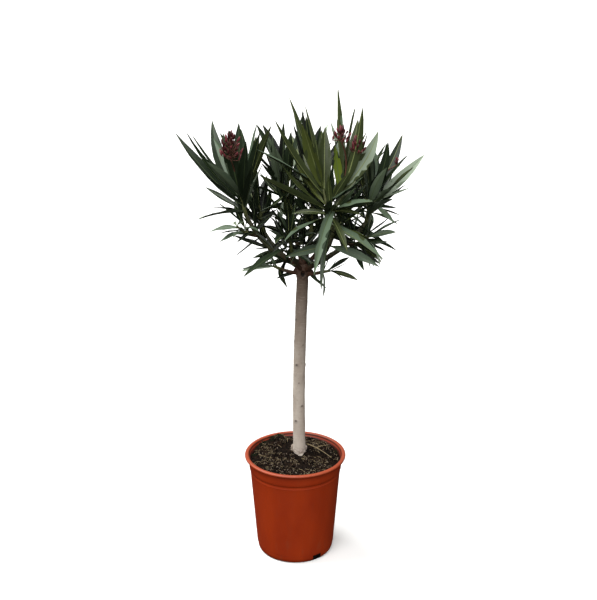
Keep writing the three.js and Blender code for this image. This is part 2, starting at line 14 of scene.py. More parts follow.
import bpy
import numpy as np
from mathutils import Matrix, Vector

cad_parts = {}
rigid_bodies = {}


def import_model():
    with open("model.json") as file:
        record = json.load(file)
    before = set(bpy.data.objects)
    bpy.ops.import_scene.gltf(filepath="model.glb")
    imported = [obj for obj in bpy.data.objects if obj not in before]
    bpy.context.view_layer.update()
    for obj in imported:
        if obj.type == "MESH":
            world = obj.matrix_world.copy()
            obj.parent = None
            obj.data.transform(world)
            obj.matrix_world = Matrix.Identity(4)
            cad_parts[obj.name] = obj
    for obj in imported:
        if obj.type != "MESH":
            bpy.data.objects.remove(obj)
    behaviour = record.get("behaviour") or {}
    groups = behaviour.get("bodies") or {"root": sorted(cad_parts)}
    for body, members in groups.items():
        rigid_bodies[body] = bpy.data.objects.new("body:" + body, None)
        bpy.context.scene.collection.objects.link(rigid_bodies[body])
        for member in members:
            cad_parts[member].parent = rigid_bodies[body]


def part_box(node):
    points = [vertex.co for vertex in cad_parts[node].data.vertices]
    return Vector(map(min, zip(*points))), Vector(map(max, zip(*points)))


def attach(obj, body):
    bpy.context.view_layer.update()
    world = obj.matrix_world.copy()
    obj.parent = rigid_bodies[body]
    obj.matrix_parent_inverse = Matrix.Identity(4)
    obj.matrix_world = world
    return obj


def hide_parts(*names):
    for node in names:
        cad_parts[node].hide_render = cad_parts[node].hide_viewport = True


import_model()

Array = np.ndarray
Inputs = dict[str | int, object]
Material = bpy.types.Material
Piece = bpy.types.Object
Socket = bpy.types.NodeSocket
Tree = bpy.types.NodeTree
Triple = tuple[float, float, float]
Quint = tuple[float, float, float, float, float]
Sizes = tuple[tuple[float, float], ...]
LOG = logging.getLogger("oleander")
MM = 0.001
GAP = 0.3  # the clearance that the frame keeps between pieces that touch
SEED = 4127
EAST = np.array([1.0, 0.0, 0.0])
NORTH = np.array([0.0, 1.0, 0.0])
UP = np.array([0.0, 0.0, 1.0])


# ---------------------------------------------------------------- small helpers
def linear(code: str) -> tuple[float, float, float, float]:
    """Turn an sRGB hex value into linear RGBA.

    Args:
        code: The colour as "#RRGGBB".

    Returns:
        Red, green, blue and an alpha of one, in linear light.
    """
    parts = [int(code[i:i + 2], 16) / 255 for i in (1, 3, 5)]
    red, green, blue = (c / 12.92 if c <= 0.04045 else ((c + 0.055) / 1.055) ** 2.4 for c in parts)
    return red, green, blue, 1.0


def add_node(
    tree: Tree,
    kind: str,
    inputs: Inputs | None = None,
    stops: Sequence[tuple[float, str]] = (),
    **settings: object,
) -> bpy.types.Node:
    """Add a node, set its properties and fill or link its inputs.

    Args:
        tree: The node tree that it joins.
        kind: The node's Blender type name.
        inputs: A value or another node's output for each input, by name or number.
        stops: Places and sRGB hex values of a colour ramp's stops.
        **settings: Properties of the node itself.

    Returns:
        The new node.
    """
    node = tree.nodes.new(kind)
    for name, value in settings.items():
        setattr(node, name, value)
    for key, value in (inputs or {}).items():
        if isinstance(value, Socket):
            tree.links.new(value, node.inputs[key])
        else:
            node.inputs[key].default_value = value
    if stops:
        ramp = node.color_ramp
        while len(ramp.elements) < len(stops):
            ramp.elements.new(1.0)
        for element, (place, code) in zip(ramp.elements, stops):
            element.position, element.color = place, linear(code)
    return node


def mix(a: float, b: float, share: float) -> float:
    """The value a share of the way from a to b."""
    return a + (b - a) * share


def unit(vectors: Array) -> Array:
    """Vectors made one long."""
    return vectors / np.maximum(np.linalg.norm(vectors, axis=-1, keepdims=True), 1e-12)


def flat(azimuth: float) -> Array:
    """The level heading at an azimuth in degrees."""
    return np.array([math.cos(math.radians(azimuth)), math.sin(math.radians(azimuth)), 0.0])


def ease(values: Array, low: float, high: float) -> Array:
    """Values eased from 0 at low to 1 at high."""
    share = np.clip((values - low) / (high - low), 0.0, 1.0)
    return share * share * (3 - 2 * share)


def norm(vectors: Array) -> Array:
    """The vectors' lengths."""
    return np.linalg.norm(vectors, axis=-1)


def frame_for(axis: Array, wish: Array) -> tuple[Array, Array]:
    """Two directions square to an axis, the first as near to a wish as it can be."""
    side = wish - axis * float(wish @ axis)
    if np.linalg.norm(side) < 1e-6:
        side = EAST - axis * axis[0]
    side = unit(side)
    return side, np.cross(axis, side)


def arc_through(start: Array, middle: Array, end: Array, t: Array) -> Array:
    """Points at shares t of a curve that leaves for a middle point and ends elsewhere."""
    return start * (1 - t) ** 2 + middle * 2 * t * (1 - t) + end * t ** 2


def turns_of(sides: int) -> Array:
    """Even angles round a ring, in radians."""
    return np.arange(sides) / sides * 2 * math.pi


def spokes(angles: Array) -> Array:
    """Level unit vectors at angles in radians."""
    return np.stack([np.cos(angles), np.sin(angles), np.zeros_like(angles)], -1)


def ring_quads(rings: int, sides: int, base: Array | int = 0) -> Array:
    """The corners of the faces between rings of points, ring by ring."""
    here = np.arange(sides)
    beside = (here + 1) % sides
    ring = base + np.arange(rings - 1)[:, None] * sides
    return np.stack([ring + here, ring + beside, ring + sides + beside, ring + sides + here], -1)


def limb_path(start: Array, azimuth: float, reach: float, rise: float, bow: float, steps: int) -> Array:
    """A curve that runs out first and then up.

    Args:
        start: The point it leaves from.
        azimuth: Its heading in degrees.
        reach: How far out it ends.
        rise: How far up it ends.
        bow: How much it runs out before it rises.
        steps: The lengths it is cut into.

    Returns:
        The curve's points, one more than its steps.
    """
    middle = start + flat(azimuth) * reach * (0.5 + bow) + UP * rise * (0.5 - bow)
    end = start + flat(azimuth) * reach + UP * rise
    t = np.linspace(0.0, 1.0, steps + 1)[:, None]
    return arc_through(start, middle, end, t)


def point_along(path: Array, share: float) -> Array:
    """The point at a share of a path counted by its steps."""
    place = share * (len(path) - 1)
    index = min(int(place), len(path) - 2)
    return path[index] + (path[index + 1] - path[index]) * (place - index)


def direction_at(path: Array, index: int) -> Array:
    """The direction of a path at one of its points."""
    return unit(path[min(index + 1, len(path) - 1)] - path[max(index - 1, 0)])


class Draw:
    """A seeded stream of numbers from 0 to 1 (a linear congruential rule)."""

    def __init__(self, seed: int) -> None:
        """Start the stream from a whole number."""
        self.state = seed % 4294967296

    def next(self) -> float:
        """The next number."""
        self.state = (self.state * 1664525 + 1013904223) % 4294967296
        return self.state / 4294967296

    def swing(self, size: float) -> float:
        """The next number, spread from minus a size to plus that size."""
        return (self.next() * 2 - 1) * size


class Ripple:
    """A seeded sum of waves that closes round a limb, for relief on bark."""

    def __init__(self, seed: int, turns: tuple[int, int], pitch: tuple[float, float], waves: int = 18) -> None:
        """Draw the waves.

        Args:
            seed: The seed they are drawn from.
            turns: The fewest and most waves round the limb.
            pitch: The shortest and longest wave along it, in millimetres.
            waves: How many waves are summed.
        """
        rng = np.random.default_rng(seed)
        self.turns = rng.integers(turns[0], turns[1] + 1, waves) * rng.choice([-1, 1], waves)
        self.pitch = 2 * math.pi / rng.uniform(pitch[0], pitch[1], waves)
        self.phase = rng.uniform(0, 2 * math.pi, waves)

    def at(self, angle: Array, height: Array) -> Array:
        """The relief, mostly from -1 to 1, at angles round the limb and heights along it."""
        angle, height = np.broadcast_arrays(angle, height)
        waves = np.sin(angle[..., None] * self.turns + height[..., None] * self.pitch + self.phase)
        return waves.sum(-1) * math.sqrt(0.5 / len(self.turns))


class Lumps:
    """Seeded smooth noise over level ground: values on a square lattice, eased between."""

    def __init__(self, seed: int, cell: float) -> None:
        """Draw the lattice for cells of a size in millimetres."""
        self.table = np.random.default_rng(seed).uniform(-1, 1, (96, 96))
        self.cell = cell

    def at(self, x: Array, y: Array) -> Array:
        """The noise, from -1 to 1, at points in millimetres."""
        u, v = x / self.cell + 48, y / self.cell + 48
        i, j = np.floor(u).astype(int), np.floor(v).astype(int)
        s, t = ease(u - i, 0, 1), ease(v - j, 0, 1)
        i, j = i % 95, j % 95
        low = self.table[i, j] * (1 - s) + self.table[i + 1, j] * s
        high = self.table[i, j + 1] * (1 - s) + self.table[i + 1, j + 1] * s
        return low * (1 - t) + high * t


class Skin:
    """Gathers closed skins in millimetres and makes one mesh object of them."""

    def __init__(self) -> None:
        """Start with no points and no faces."""
        self.points: list[Array] = []
        self.faces: list[Array] = []
        self.slots: list[Array] = []
        self.rims: list[Array] = []
        self.painted: dict[str, list[Array]] = {}
        self.count = 0

    def paint(self, **values: Array) -> None:
        """Keep more of a number for each point, by name, in the order the points were added."""
        for name, given in values.items():
            self.painted.setdefault(name, []).append(np.ravel(given))

    def lofts(self, rings: Array, poles: Array, slots: Array | int = 0, rims: Array | None = None) -> slice:
        """Add closed skins through rings that turn right-handed about the way they travel.

        Args:
            rings: Points as (skin, ring, point, 3).
            poles: The points that close the first and last ring, as (skin, 2, 3).
            slots: The material slot, for all or as (skin, point).
            rims: A bit for each ring point that lies on a sharp rim, or none.

        Returns:
            The new points' place in the list of all points.
        """
        skins, count, sides = rings.shape[:3]
        block = count * sides + 2
        base = self.count + np.arange(skins)[:, None, None] * block
        here = np.arange(sides)
        beside = (here + 1) % sides
        first, last = base + count * sides, base + (count - 1) * sides
        quads = ring_quads(count, sides, base)
        starts = np.stack(np.broadcast_arrays(first, base + beside, base + here), -1)
        ends = np.stack(np.broadcast_arrays(first + 1, last + here, last + beside), -1)
        slot = np.broadcast_to(np.asarray(slots), (skins, sides))[:, None, :]
        for faces in (quads, starts, ends):
            self.faces.append(faces.reshape(-1, faces.shape[-1]))
            self.slots.append(np.broadcast_to(slot, faces.shape[:3]).ravel())
        self.points.append(np.concatenate([rings.reshape(skins, -1, 3), poles], axis=1).reshape(-1, 3))
        bits = np.zeros(sides, int) if rims is None else rims
        one = np.concatenate([np.tile(bits, count), np.full(2, int(np.bitwise_or.reduce(bits)))])
        self.rims.append(np.tile(one, skins))
        self.count += skins * block
        return slice(self.count - skins * block, self.count)

    def tube(self, path: Array, radii: Array | float, sides: int, slot: int = 0) -> slice:
        """Add a round limb along a path, with a radius for each point or for each ring point."""
        wish = np.array([0.3, 1.0, 0.2])
        angles = turns_of(sides)
        radii = np.broadcast_to(np.asarray(radii, float), (len(path),)) if np.ndim(radii) < 2 else radii
        rings = []
        for i, point in enumerate(path):
            side, other = frame_for(direction_at(path, i), wish)
            wish = side
            round_it = np.outer(np.cos(angles), side) + np.outer(np.sin(angles), other)
            rings.append(point + round_it * np.reshape(radii[i], (-1, 1)))
        return self.lofts(np.array(rings)[None], np.array([[path[0], path[-1]]]), slot)

    def build(self, name: str, materials: Sequence[Material], smooth: bool = True) -> Piece:
        """Make the mesh object.

        Args:
            name: The piece's name.
            materials: Its material slots in order.
            smooth: Whether its faces are shaded as one surface between its rims.

        Returns:
            The object, linked to the scene, at the origin.
        """
        mesh = bpy.data.meshes.new(name)
        points = np.concatenate(self.points) * MM
        loops = np.concatenate([faces.ravel() for faces in self.faces])
        sizes = np.concatenate([np.full(len(faces), faces.shape[1]) for faces in self.faces])
        mesh.vertices.add(len(points))
        mesh.vertices.foreach_set("co", points.ravel())
        mesh.loops.add(len(loops))
        mesh.loops.foreach_set("vertex_index", loops)
        mesh.polygons.add(len(sizes))
        mesh.polygons.foreach_set("loop_start", np.concatenate([[0], np.cumsum(sizes)[:-1]]))
        mesh.polygons.foreach_set("material_index", np.concatenate(self.slots))
        mesh.polygons.foreach_set("use_smooth", np.full(len(sizes), smooth))
        for material in materials:
            mesh.materials.append(material)
        mesh.update(calc_edges=True)
        rims = np.concatenate(self.rims)
        if rims.any():
            ends = np.empty(len(mesh.edges) * 2, int)
            mesh.edges.foreach_get("vertices", ends)
            ends = ends.reshape(-1, 2)
            mesh.edges.foreach_set("use_edge_sharp", (rims[ends[:, 0]] & rims[ends[:, 1]]) != 0)
        mesh.validate()
        for kept, values in self.painted.items():
            layer = mesh.attributes.new(kept, "FLOAT", "POINT")
            layer.data.foreach_set("value", np.concatenate(values).astype(np.float32))
        piece = bpy.data.objects.new(name, mesh)
        bpy.context.scene.collection.objects.link(piece)
        return piece


def seat(piece: Piece, nodes: Sequence[str] = ()) -> None:
    """Put a finished piece on the body and the nodes that it stands for.

    Args:
        piece: The finished piece.
        nodes: The frame's nodes that it replaces.
    """
    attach(piece, "root")
    if nodes:
        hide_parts(*nodes)
    LOG.info("%s: %d faces", piece.name, len(piece.data.polygons))


# ---------------------------------------------------------------- finishes
@dataclass(frozen=True)
class PlainFinish:
    """A finish with one colour all over, for small pieces that come in several tints."""

    name: str
    colour: str
    roughness: float
    ior: float = 1.45
    coat: float = 0.0

    def material(self) -> Material:
        """The finish as a material whose values are set on the shader itself."""
        made = bpy.data.materials.new(self.name)
        made.use_nodes = True
        shader = made.node_tree.nodes["Principled BSDF"]
        shader.inputs["Base Color"].default_value = linear(self.colour)
        shader.inputs["Roughness"].default_value = self.roughness
        shader.inputs["IOR"].default_value = self.ior
        shader.inputs["Coat Weight"].default_value = self.coat
        shader.inputs["Coat Roughness"].default_value = 0.3
        return made


class Tint(Enum):
    """The colours of the leaves' upper sides, dealt out by spray; the near-black one is painted shade, and the
    grey and pale ones carry a painted sheen.
    """

    # near black: painted shade, given as a leaf colour to leaves inside and at the back of the head
    DEEP = "#0A0F08"
    GREEN = "#1F2C19"
    OLIVE = "#353E1E"
    GOLDEN = "#4B5425"
    # grey-green: the leaf's own colour with a painted sheen of reflected light
    GREY = "#566651"
    # pale grey-green: a painted sheen of reflected light over the leaf's own green
    PALE = "#86937E"
    FRESH = "#5C6C1E"


DEEP, GREEN, OLIVE, GOLDEN, GREY, PALE, FRESH = Tint


class Under(Enum):
    """The colours of the leaves' undersides, dealt out by spray too."""

    OLIVE = "#394224"
    GREEN = "#263220"
    GREY = "#5D6A54"


UNDER_OF = {OLIVE: Under.OLIVE, GOLDEN: Under.OLIVE, FRESH: Under.OLIVE, GREY: Under.GREY, PALE: Under.GREY}


# Oleander leaf: a leathery blade under a waxy skin. The wax gives it broad soft highlights
# that wash the dark green out to grey where it faces the light.
# The near-black painted-shade tint gets a lower index, so that less reflected light lifts it.
LEAF_TOPS = {tint: PlainFinish(f"leaf_{tint.name.lower()}", tint.value, 0.42, 1.33 if tint is DEEP else 1.42)
             for tint in Tint}
# The underside has no wax and a felt of fine pits, so it is duller and a little paler.
LEAF_UNDERS = {tint: PlainFinish(f"leaf_under_{tint.name.lower()}", tint.value, 0.55, 1.33) for tint in Under}
# The midrib is a paler cord that stands proud and shows as a thin light line.
MIDRIBS = (PlainFinish("leaf_midrib_dull", "#4C5A38", 0.5), PlainFinish("leaf_midrib_pale", "#7A8350", 0.5))
# Green wood of the year, under a thin skin: olive, with a dull shine.
GREEN_WOOD = PlainFinish("green_wood", "#50542F", 0.55)
# Closed flower buds: tight petals with the sheen of satin, from dark crimson to rose.
BUD_DARK = PlainFinish("bud_dark", "#421417", 0.5)
BUD_ROSE = PlainFinish("bud_rose", "#6C2E33", 0.5)
BUD_STALK = PlainFinish("bud_stalk", "#5B3A2C", 0.6)
# Loose bits on the peat: open, dull and dusty, so their index is low and none of them shines.
CRUMB = PlainFinish("peat_crumb", "#0B0705", 0.95, 1.15)
CRUMB_BROWN = PlainFinish("peat_crumb_brown", "#20160F", 0.95, 1.15)
CHIP = PlainFinish("bark_chip", "#6A5F53", 0.9, 1.2)
STRAW = PlainFinish("straw_fibre", "#837458", 0.85, 1.3)
ROOT_FIBRE = PlainFinish("root_fibre", "#2F2218", 0.9, 1.2)
MOSS = PlainFinish("moss", "#1F2818", 0.95, 1.2)


class Shader:
    """A patterned material under way: its tree, its shader and its place on the piece."""

    def __init__(self, name: str) -> None:
        """Start a material whose patterns sit on the piece's own coordinates."""
        self.made = bpy.data.materials.new(name)
        self.made.use_nodes = True
        self.tree = self.made.node_tree
        self.shader = self.tree.nodes["Principled BSDF"]
        self.place = self.add("ShaderNodeTexCoord").outputs["Object"]

    def add(self, kind: str, inputs: Inputs | None = None, **settings: object) -> bpy.types.Node:
        """Add a node to this material."""
        return add_node(self.tree, kind, inputs, **settings)

    def noise(self, size: float, detail: float = 3.0, stretch: Triple = (1, 1, 1)) -> Socket:
        """Noise whose grain has a real size in millimetres, optionally stretched.

        Args:
            size: The grain's width in millimetres.
            detail: How many finer octaves it has.
            stretch: The scale along each axis, under one to draw the grain out.

        Returns:
            The noise's value, from 0 to 1.
        """
        place = self.add("ShaderNodeMapping", {"Vector": self.place, "Scale": stretch}).outputs[0]
        settings = {"Vector": place, "Scale": 1 / (size * MM), "Detail": detail}
        return self.add("ShaderNodeTexNoise", settings).outputs[0]

    def height(self, low: float, high: float) -> Socket:
        """A ramp from 0 to 1 between two heights in millimetres."""
        z = self.add("ShaderNodeSeparateXYZ", {0: self.place}).outputs["Z"]
        limits = {"Value": z, "From Min": low * MM, "From Max": high * MM}
        return self.add("ShaderNodeMapRange", limits, interpolation_type="SMOOTHSTEP").outputs[0]

    def painted(self, name: str) -> Socket:
        """The number that the piece keeps under a name."""
        return self.add("ShaderNodeAttribute", attribute_name=name).outputs["Fac"]

    def ramp(self, value: Socket, *stops: tuple[float, str]) -> Socket:
        """Colours for a value, by stops."""
        return self.add("ShaderNodeValToRGB", {0: value}, stops=stops).outputs["Color"]

    def maths(self, operation: str, *values: object) -> Socket:
        """Arithmetic on one, two or three values, kept from 0 to 1."""
        inputs = dict(enumerate(values))
        return self.add("ShaderNodeMath", inputs, operation=operation, use_clamp=True).outputs[0]

    def blend(self, share: object, low: object, high: object, how: str = "MIX") -> Socket:
        """One colour laid over another by a share."""
        inputs = {0: share, 6: low, 7: high}
        return self.add("ShaderNodeMix", inputs, data_type="RGBA", blend_type=how).outputs[2]

    def rough(self, value: Socket, low: float, high: float) -> None:
        """Let the roughness follow a value between two limits."""
        limits = {"Value": value, "To Min": low, "To Max": high}
        self.tree.links.new(self.add("ShaderNodeMapRange", limits).outputs[0], self.shader.inputs["Roughness"])

    def bump(self, value: Socket, depth: float, strength: float = 1.0) -> None:
        """Let the surface rise by a value, as much as a depth in millimetres, over the bumps so far."""
        inputs = {"Height": value, "Distance": depth * MM, "Strength": strength}
        normal = self.shader.inputs["Normal"]
        if normal.is_linked:
            inputs["Normal"] = normal.links[0].from_socket
        self.tree.links.new(self.add("ShaderNodeBump", inputs).outputs[0], normal)

    def over(self, colour: Socket, share: Socket, code: str) -> Socket:
        """A colour with another, given as an sRGB hex value, laid over it by a share."""
        return self.blend(share, colour, linear(code))

    def times(self, first: Socket, second: Socket | float) -> Socket:
        """The product of two values, kept from 0 to 1."""
        return self.maths("MULTIPLY", first, second)

    def graded(self, value: Socket, gain: float, start: float) -> Socket:
        """A value times a gain plus a start, kept from 0 to 1."""
        return self.maths("MULTIPLY_ADD", value, gain, start)

    def finish(self, colour: Socket, ior: float) -> Material:
        """Join the colour, set the index and hand the material over."""
        self.tree.links.new(colour, self.shader.inputs["Base Color"])
        self.shader.inputs["IOR"].default_value = ior
        return self.made


@dataclass(frozen=True)
class MouldedPolypropylene:
    """Terracotta-coloured polypropylene, injection moulded in a polished steel mould.

    The pigment is strong and even and the skin is satin, so the wall shows one deep colour with
    a soft sheen, the lip catches the light and its top has a painted highlight, dust greys the foot,
    and soil stains with painted shade darken the inside from the lip's inner edge down.
    """

    body: str = "#9A3006"
    deep: str = "#8E2904"
    # lighter orange for the lip's painted highlight
    faded: str = "#A65C3A"
    dust: str = "#75462D"
    # near black: soil stains on the inside, with painted shade down the inner wall and in the notches
    soil: str = "#0E0906"
    cloud: float = 38.0  # mm across a patch of slightly uneven pigment
    grain: float = 1.6  # mm; the skin's own grain is far finer, and is drawn as coarse as can show
    sink: float = 52.0  # mm across the slow unevenness of a thin moulded wall
    lip: tuple[float, float] = (190.5, 196.5)  # the heights between which the lip's top is painted lighter: a painted highlight
    fading: float = 0.3
    splashed: float = 60.0  # mm up the wall that dust and splashes reach

    def material(self) -> Material:
        """The finish as a material."""
        make = Shader("polypropylene_terracotta")
        colour = make.ramp(make.noise(self.cloud, 2.0, (1, 1, 0.4)), (0.35, self.deep), (0.68, self.body))
        # painted highlight: the lip's top is made lighter where it catches the light
        colour = make.over(colour, make.times(make.height(*self.lip), self.fading), self.faded)
        scuff = make.graded(make.noise(9.0, 4.0, (1, 1, 0.3)), 3.2, -1.75)
        low = make.graded(make.maths("SUBTRACT", 1.0, make.height(0.0, self.splashed)), 0.5, 0.12)
        colour = make.over(colour, make.times(low, scuff), self.dust)
        # soil stains and painted shade: the inside below the lip's inner edge and the notches go near black
        colour = make.over(colour, make.painted("soiled"), self.soil)
        make.rough(make.noise(14.0, 3.0), 0.42, 0.54)
        make.bump(make.noise(self.grain, 2.0), 0.05, 0.35)
        make.bump(make.noise(self.sink, 1.0, (1, 1, 0.25)), 0.6, 0.25)
        return make.finish(colour, 1.49)


@dataclass(frozen=True)
class PeatMix:
    """Peat and composted bark, milled and pressed in by hand.

    It is fibrous, open and dark, and the hollows between its brown crumbs are painted nearly black as painted
    shade, all matt.
    """

    # near black at the noise's low points, which the bump sinks: the peat's own dark with painted shade in its
    # hollows
    hollow: str = "#040302"
    dark: str = "#0D0906"
    brown: str = "#20160F"
    pale: str = "#3A2F27"
    crumb: float = 3.0  # mm

    def material(self) -> Material:
        """The finish as a material."""
        make = Shader("peat_mix")
        fine = make.noise(self.crumb, 5.0)
        # the colour and the bump follow one noise, so the hollows are painted darkest: painted shade
        colour = make.ramp(fine, (0.3, self.hollow), (0.48, self.dark), (0.62, self.brown), (0.78, self.pale))
        make.rough(fine, 0.9, 1.0)
        make.bump(fine, 1.6, 0.9)
        return make.finish(colour, 1.15)


@dataclass(frozen=True)
class StemBark:
    """Oleander bark on an old stem: thin, smooth and tight, weathered outdoors.

    It is pinkish grey with faint rings and small corky specks, browner under the head and darker there as
    painted shade, with dark knots where side shoots were rubbed off, painted shade in the scar's hollow, and a
    chalky crust at the foot.
    """

    ash: str = "#C3B9AC"
    rose: str = "#AA9D90"
    brown: str = "#6E5D4F"
    umber: str = "#5B3728"
    # the knots' dark stain, also used as painted shade inside the scar's hollow
    knot: str = "#1F1611"
    crust: str = "#C4B4AC"
    speck: float = 2.2  # mm across a corky speck
    browning: tuple[float, float] = (280.0, 560.0)  # the heights between which it turns brown and darker: browner bark with painted shade under the head

    def material(self) -> Material:
        """The finish as a material."""
        make = Shader("stem_bark")
        cloud = make.noise(26.0, 3.0, (1, 1, 0.45))
        colour = make.ramp(cloud, (0.34, self.rose), (0.64, self.ash))
        # browner and darker towards the head: partly browner bark, partly painted shade under the head
        upper = make.height(*self.browning)
        ragged = make.graded(make.noise(12.0, 3.0, (1, 1, 0.4)), 0.5, -0.25)
        colour = make.over(colour, make.maths("ADD", upper, make.times(upper, ragged)), self.brown)
        rings = make.noise(5.0, 4.0, (0.35, 0.35, 2.4))
        colour = make.over(colour, make.graded(rings, 2.4, -1.3), self.rose)
        speck = make.graded(make.noise(self.speck, 1.0, (1, 1, 0.7)), 6.0, -3.9)
        colour = make.over(colour, make.times(speck, 0.55), self.brown)
        colour = make.over(colour, make.painted("collar"), self.umber)
        crusted = make.painted("crust")
        colour = make.over(colour, make.times(crusted, 0.75), self.brown)
        flaky = make.graded(make.noise(4.5, 3.0), 5.0, -2.4)
        colour = make.over(colour, make.times(crusted, flaky), self.crust)
        # knot stains, and painted shade in the scar's hollow
        colour = make.over(colour, make.painted("knot"), self.knot)
        make.rough(cloud, 0.68, 0.84)
        make.bump(rings, 0.35, 0.6)
        make.bump(make.noise(1.4, 4.0, (1, 1, 0.4)), 0.25, 0.5)
        return make.finish(colour, 1.45)


@dataclass(frozen=True)
class BoughBark:
    """Oleander bark on two-year wood: still green under a thin grey-brown skin.

    It goes from reddish brown at the fork to olive at the tips, ringed by old leaf scars.
    """

    umber: str = "#553828"
    olive: str = "#3E4228"
    grey: str = "#575442"

    def material(self) -> Material:
        """The finish as a material."""
        make = Shader("bough_bark")
        cloud = make.noise(9.0, 3.0, (1, 1, 0.5))
        young = make.blend(make.graded(cloud, 2.4, -0.8), linear(self.olive), linear(self.grey))
        colour = make.over(young, make.painted("age"), self.umber)
        make.rough(cloud, 0.55, 0.78)
        make.bump(make.noise(2.0, 3.0), 0.3, 0.5)
        return make.finish(colour, 1.45)


# ---------------------------------------------------------------- pot
Profile = list[tuple[float, float]]


@dataclass
class NurseryPot:
    """A moulded pot: a bevelled foot with drainage notches, a shallow band and a rolled lip."""

    wall_foot: float = 72.0  # the wall's radius carried down to the ground
    wall_slope: float = 0.078
    wall: float = 2.2
    floor: float = 3.0
    foot_edge: float = 65.4  # where the foot's curve leaves the ground
    foot_lift: float = 0.6
    bevel_height: float = 15.0
    foot_line: float = 0.7  # depth of the line round the foot
    ridge_height: float = 163.0
    ridge: float = 0.3
    band_height: float = 170.0
    band_step: float = 1.4
    lip_under: float = 191.6
    rim_height: float = 197.0
    rim_radius: float = 95.0
    lip_inner: float = 87.4
    lip_round: float = 2.3  # radius of the lip's inner edge
    throat: float = 9.4  # how far below the rim the inside is straight again
    sides: int = 180
    notch_first: float = -55.0
    notch_count: int = 3
    notch_width: float = 17.0
    notch_height: float = 13.4
    notch_radius: float = 62.6
    notch_mouth: float = 69.0  # the foot's radius where a notch's width is measured
    foot_levels: tuple[float, ...] = (0.2, 0.7, 1.4, 2.3, 3.5, 4.8, 6.6, 8.4, 10.2, 12.2)
    soiled_rim: tuple[float, float] = (197.4, 193.8)  # where soil stains and painted shade on the inside start and are full
    soiled: tuple[float, float] = (0.74, 0.26)  # how dark it is, and how patchy
    patch: float = 7.0  # mm across a patch of it

    def outer(self, height: float | Array) -> float | Array:
        """The wall's outer radius at a height."""
        return self.wall_foot + self.wall_slope * height

    def inner(self, height: float | Array) -> float | Array:
        """The wall's inner radius at a height."""
        return self.outer(height) - self.wall

    def foot(self) -> Profile:
        """The rounded foot, with rings set close at the notches' upper edge."""
        t = np.linspace(0, 1, 200)
        radii = arc_through(self.foot_edge, self.wall_foot, self.outer(self.bevel_height) - self.foot_line, t)
        heights = self.foot_lift * 2 * t * (1 - t) + self.bevel_height * t ** 2
        edge = (self.notch_height + up for up in (0.0, 0.02, 0.04))
        return [(float(np.interp(z, heights, radii)), z) for z in (*self.foot_levels, *edge, self.bevel_height)]

    def arc(self, centre: tuple[float, float], size: float, start: float, end: float, steps: int) -> Profile:
        """Points on an arc of the profile, from one angle in degrees to another."""
        angles = np.radians(np.linspace(start, end, steps + 1))
        return [(centre[0] + size * math.cos(a), centre[1] + size * math.sin(a)) for a in angles]

    def swell(self, height: float, size: float, shares: Sequence[tuple[float, float]]) -> Profile:
        """Points on the wall about a height that stand out by shares of a size."""
        return [(self.outer(height + dz) + size * share, height + dz) for dz, share in shares]

    def profile(self) -> Profile:
        """The section, up the outside, over the lip and down the inside to the floor."""
        line, step, rim = self.bevel_height + 1.0, self.band_step, self.rim_height
        foot = [(self.outer(line) - self.foot_line, line), (self.outer(line + 0.35), line + 0.35)]
        wall = [(self.outer(z), z) for z in np.linspace(line + 0.7, self.ridge_height - 1.6, 12)]
        ridge = self.swell(self.ridge_height, self.ridge,
                           ((-0.9, 0.1), (-0.45, 0.75), (0.0, 1.0), (0.45, 0.75), (0.9, 0.1)))
        rise = self.swell(self.band_height, step, (
            (-3.0, 0.0), (-1.2, 0.0), (-0.8, 0.08), (-0.45, 0.3), (0.0, 0.62), (0.4, 0.88), (0.8, 1.0)))
        upper = [(self.outer(z) + step, z) for z in (176.0, 183.0, 189.4, 190.6)]
        under = self.outer(self.lip_under) + step
        neck = [(under + 0.1, self.lip_under - 0.4), (under + 0.6, self.lip_under - 0.05)]
        size = (rim - self.lip_under) / 2
        lip = self.arc((self.rim_radius - size, self.lip_under + size), size, -90, 90, 14)
        crown = [(91.2, rim - 0.02), (90.2, rim - 0.12)]
        inside = self.arc((self.lip_inner + self.lip_round, rim - 2.6), self.lip_round, 90, 180, 8)
        low = rim - self.throat
        throat = [(mix(self.lip_inner, self.inner(low), s), mix(194.4, low, t))
                  for s, t in ((0.08, 0.2), (0.32, 0.42), (0.64, 0.64), (0.9, 0.84), (1.0, 1.0))]
        down = [(self.inner(z), z) for z in (175.0, 140.0, 100.0, 60.0, self.bevel_height)]
        floor = [(self.inner(9.0) - 0.9, 9.0), (self.inner(6.0) - 3.0, 5.6), (64.6, 3.7),
                 (61.4, self.floor), (30.0, self.floor)]
        base = [(30.0, 0.0), (58.0, 0.0), (64.4, 0.0)]
        return (base + self.foot() + foot + wall + ridge + rise + upper + neck + lip + crown + inside
                + throat + down + floor)

    def angles(self) -> Array:
        """Where the section is repeated: evenly, and closely at the notches' sides."""
        half = math.degrees(math.asin(self.notch_width / 2 / self.notch_mouth))
        even = np.arange(self.sides) * 360 / self.sides
        edges = [self.notch_first + k * 360 / self.notch_count + side * (half + out)
                 for k in range(self.notch_count) for side in (-1, 1) for out in (0.0, 0.08, 0.16)]
        return np.radians(np.unique(np.round(np.mod(np.concatenate([even, edges]), 360), 4)))

    def in_notch(self, angles: Array, margin: float) -> Array:
        """Whether each angle lies within a notch, or within a margin of it."""
        half = math.asin(self.notch_width / 2 / self.notch_mouth) + margin
        turn = 2 * math.pi / self.notch_count
        off = np.mod(angles - math.radians(self.notch_first) + turn / 2, turn) - turn / 2
        return np.abs(off) < half

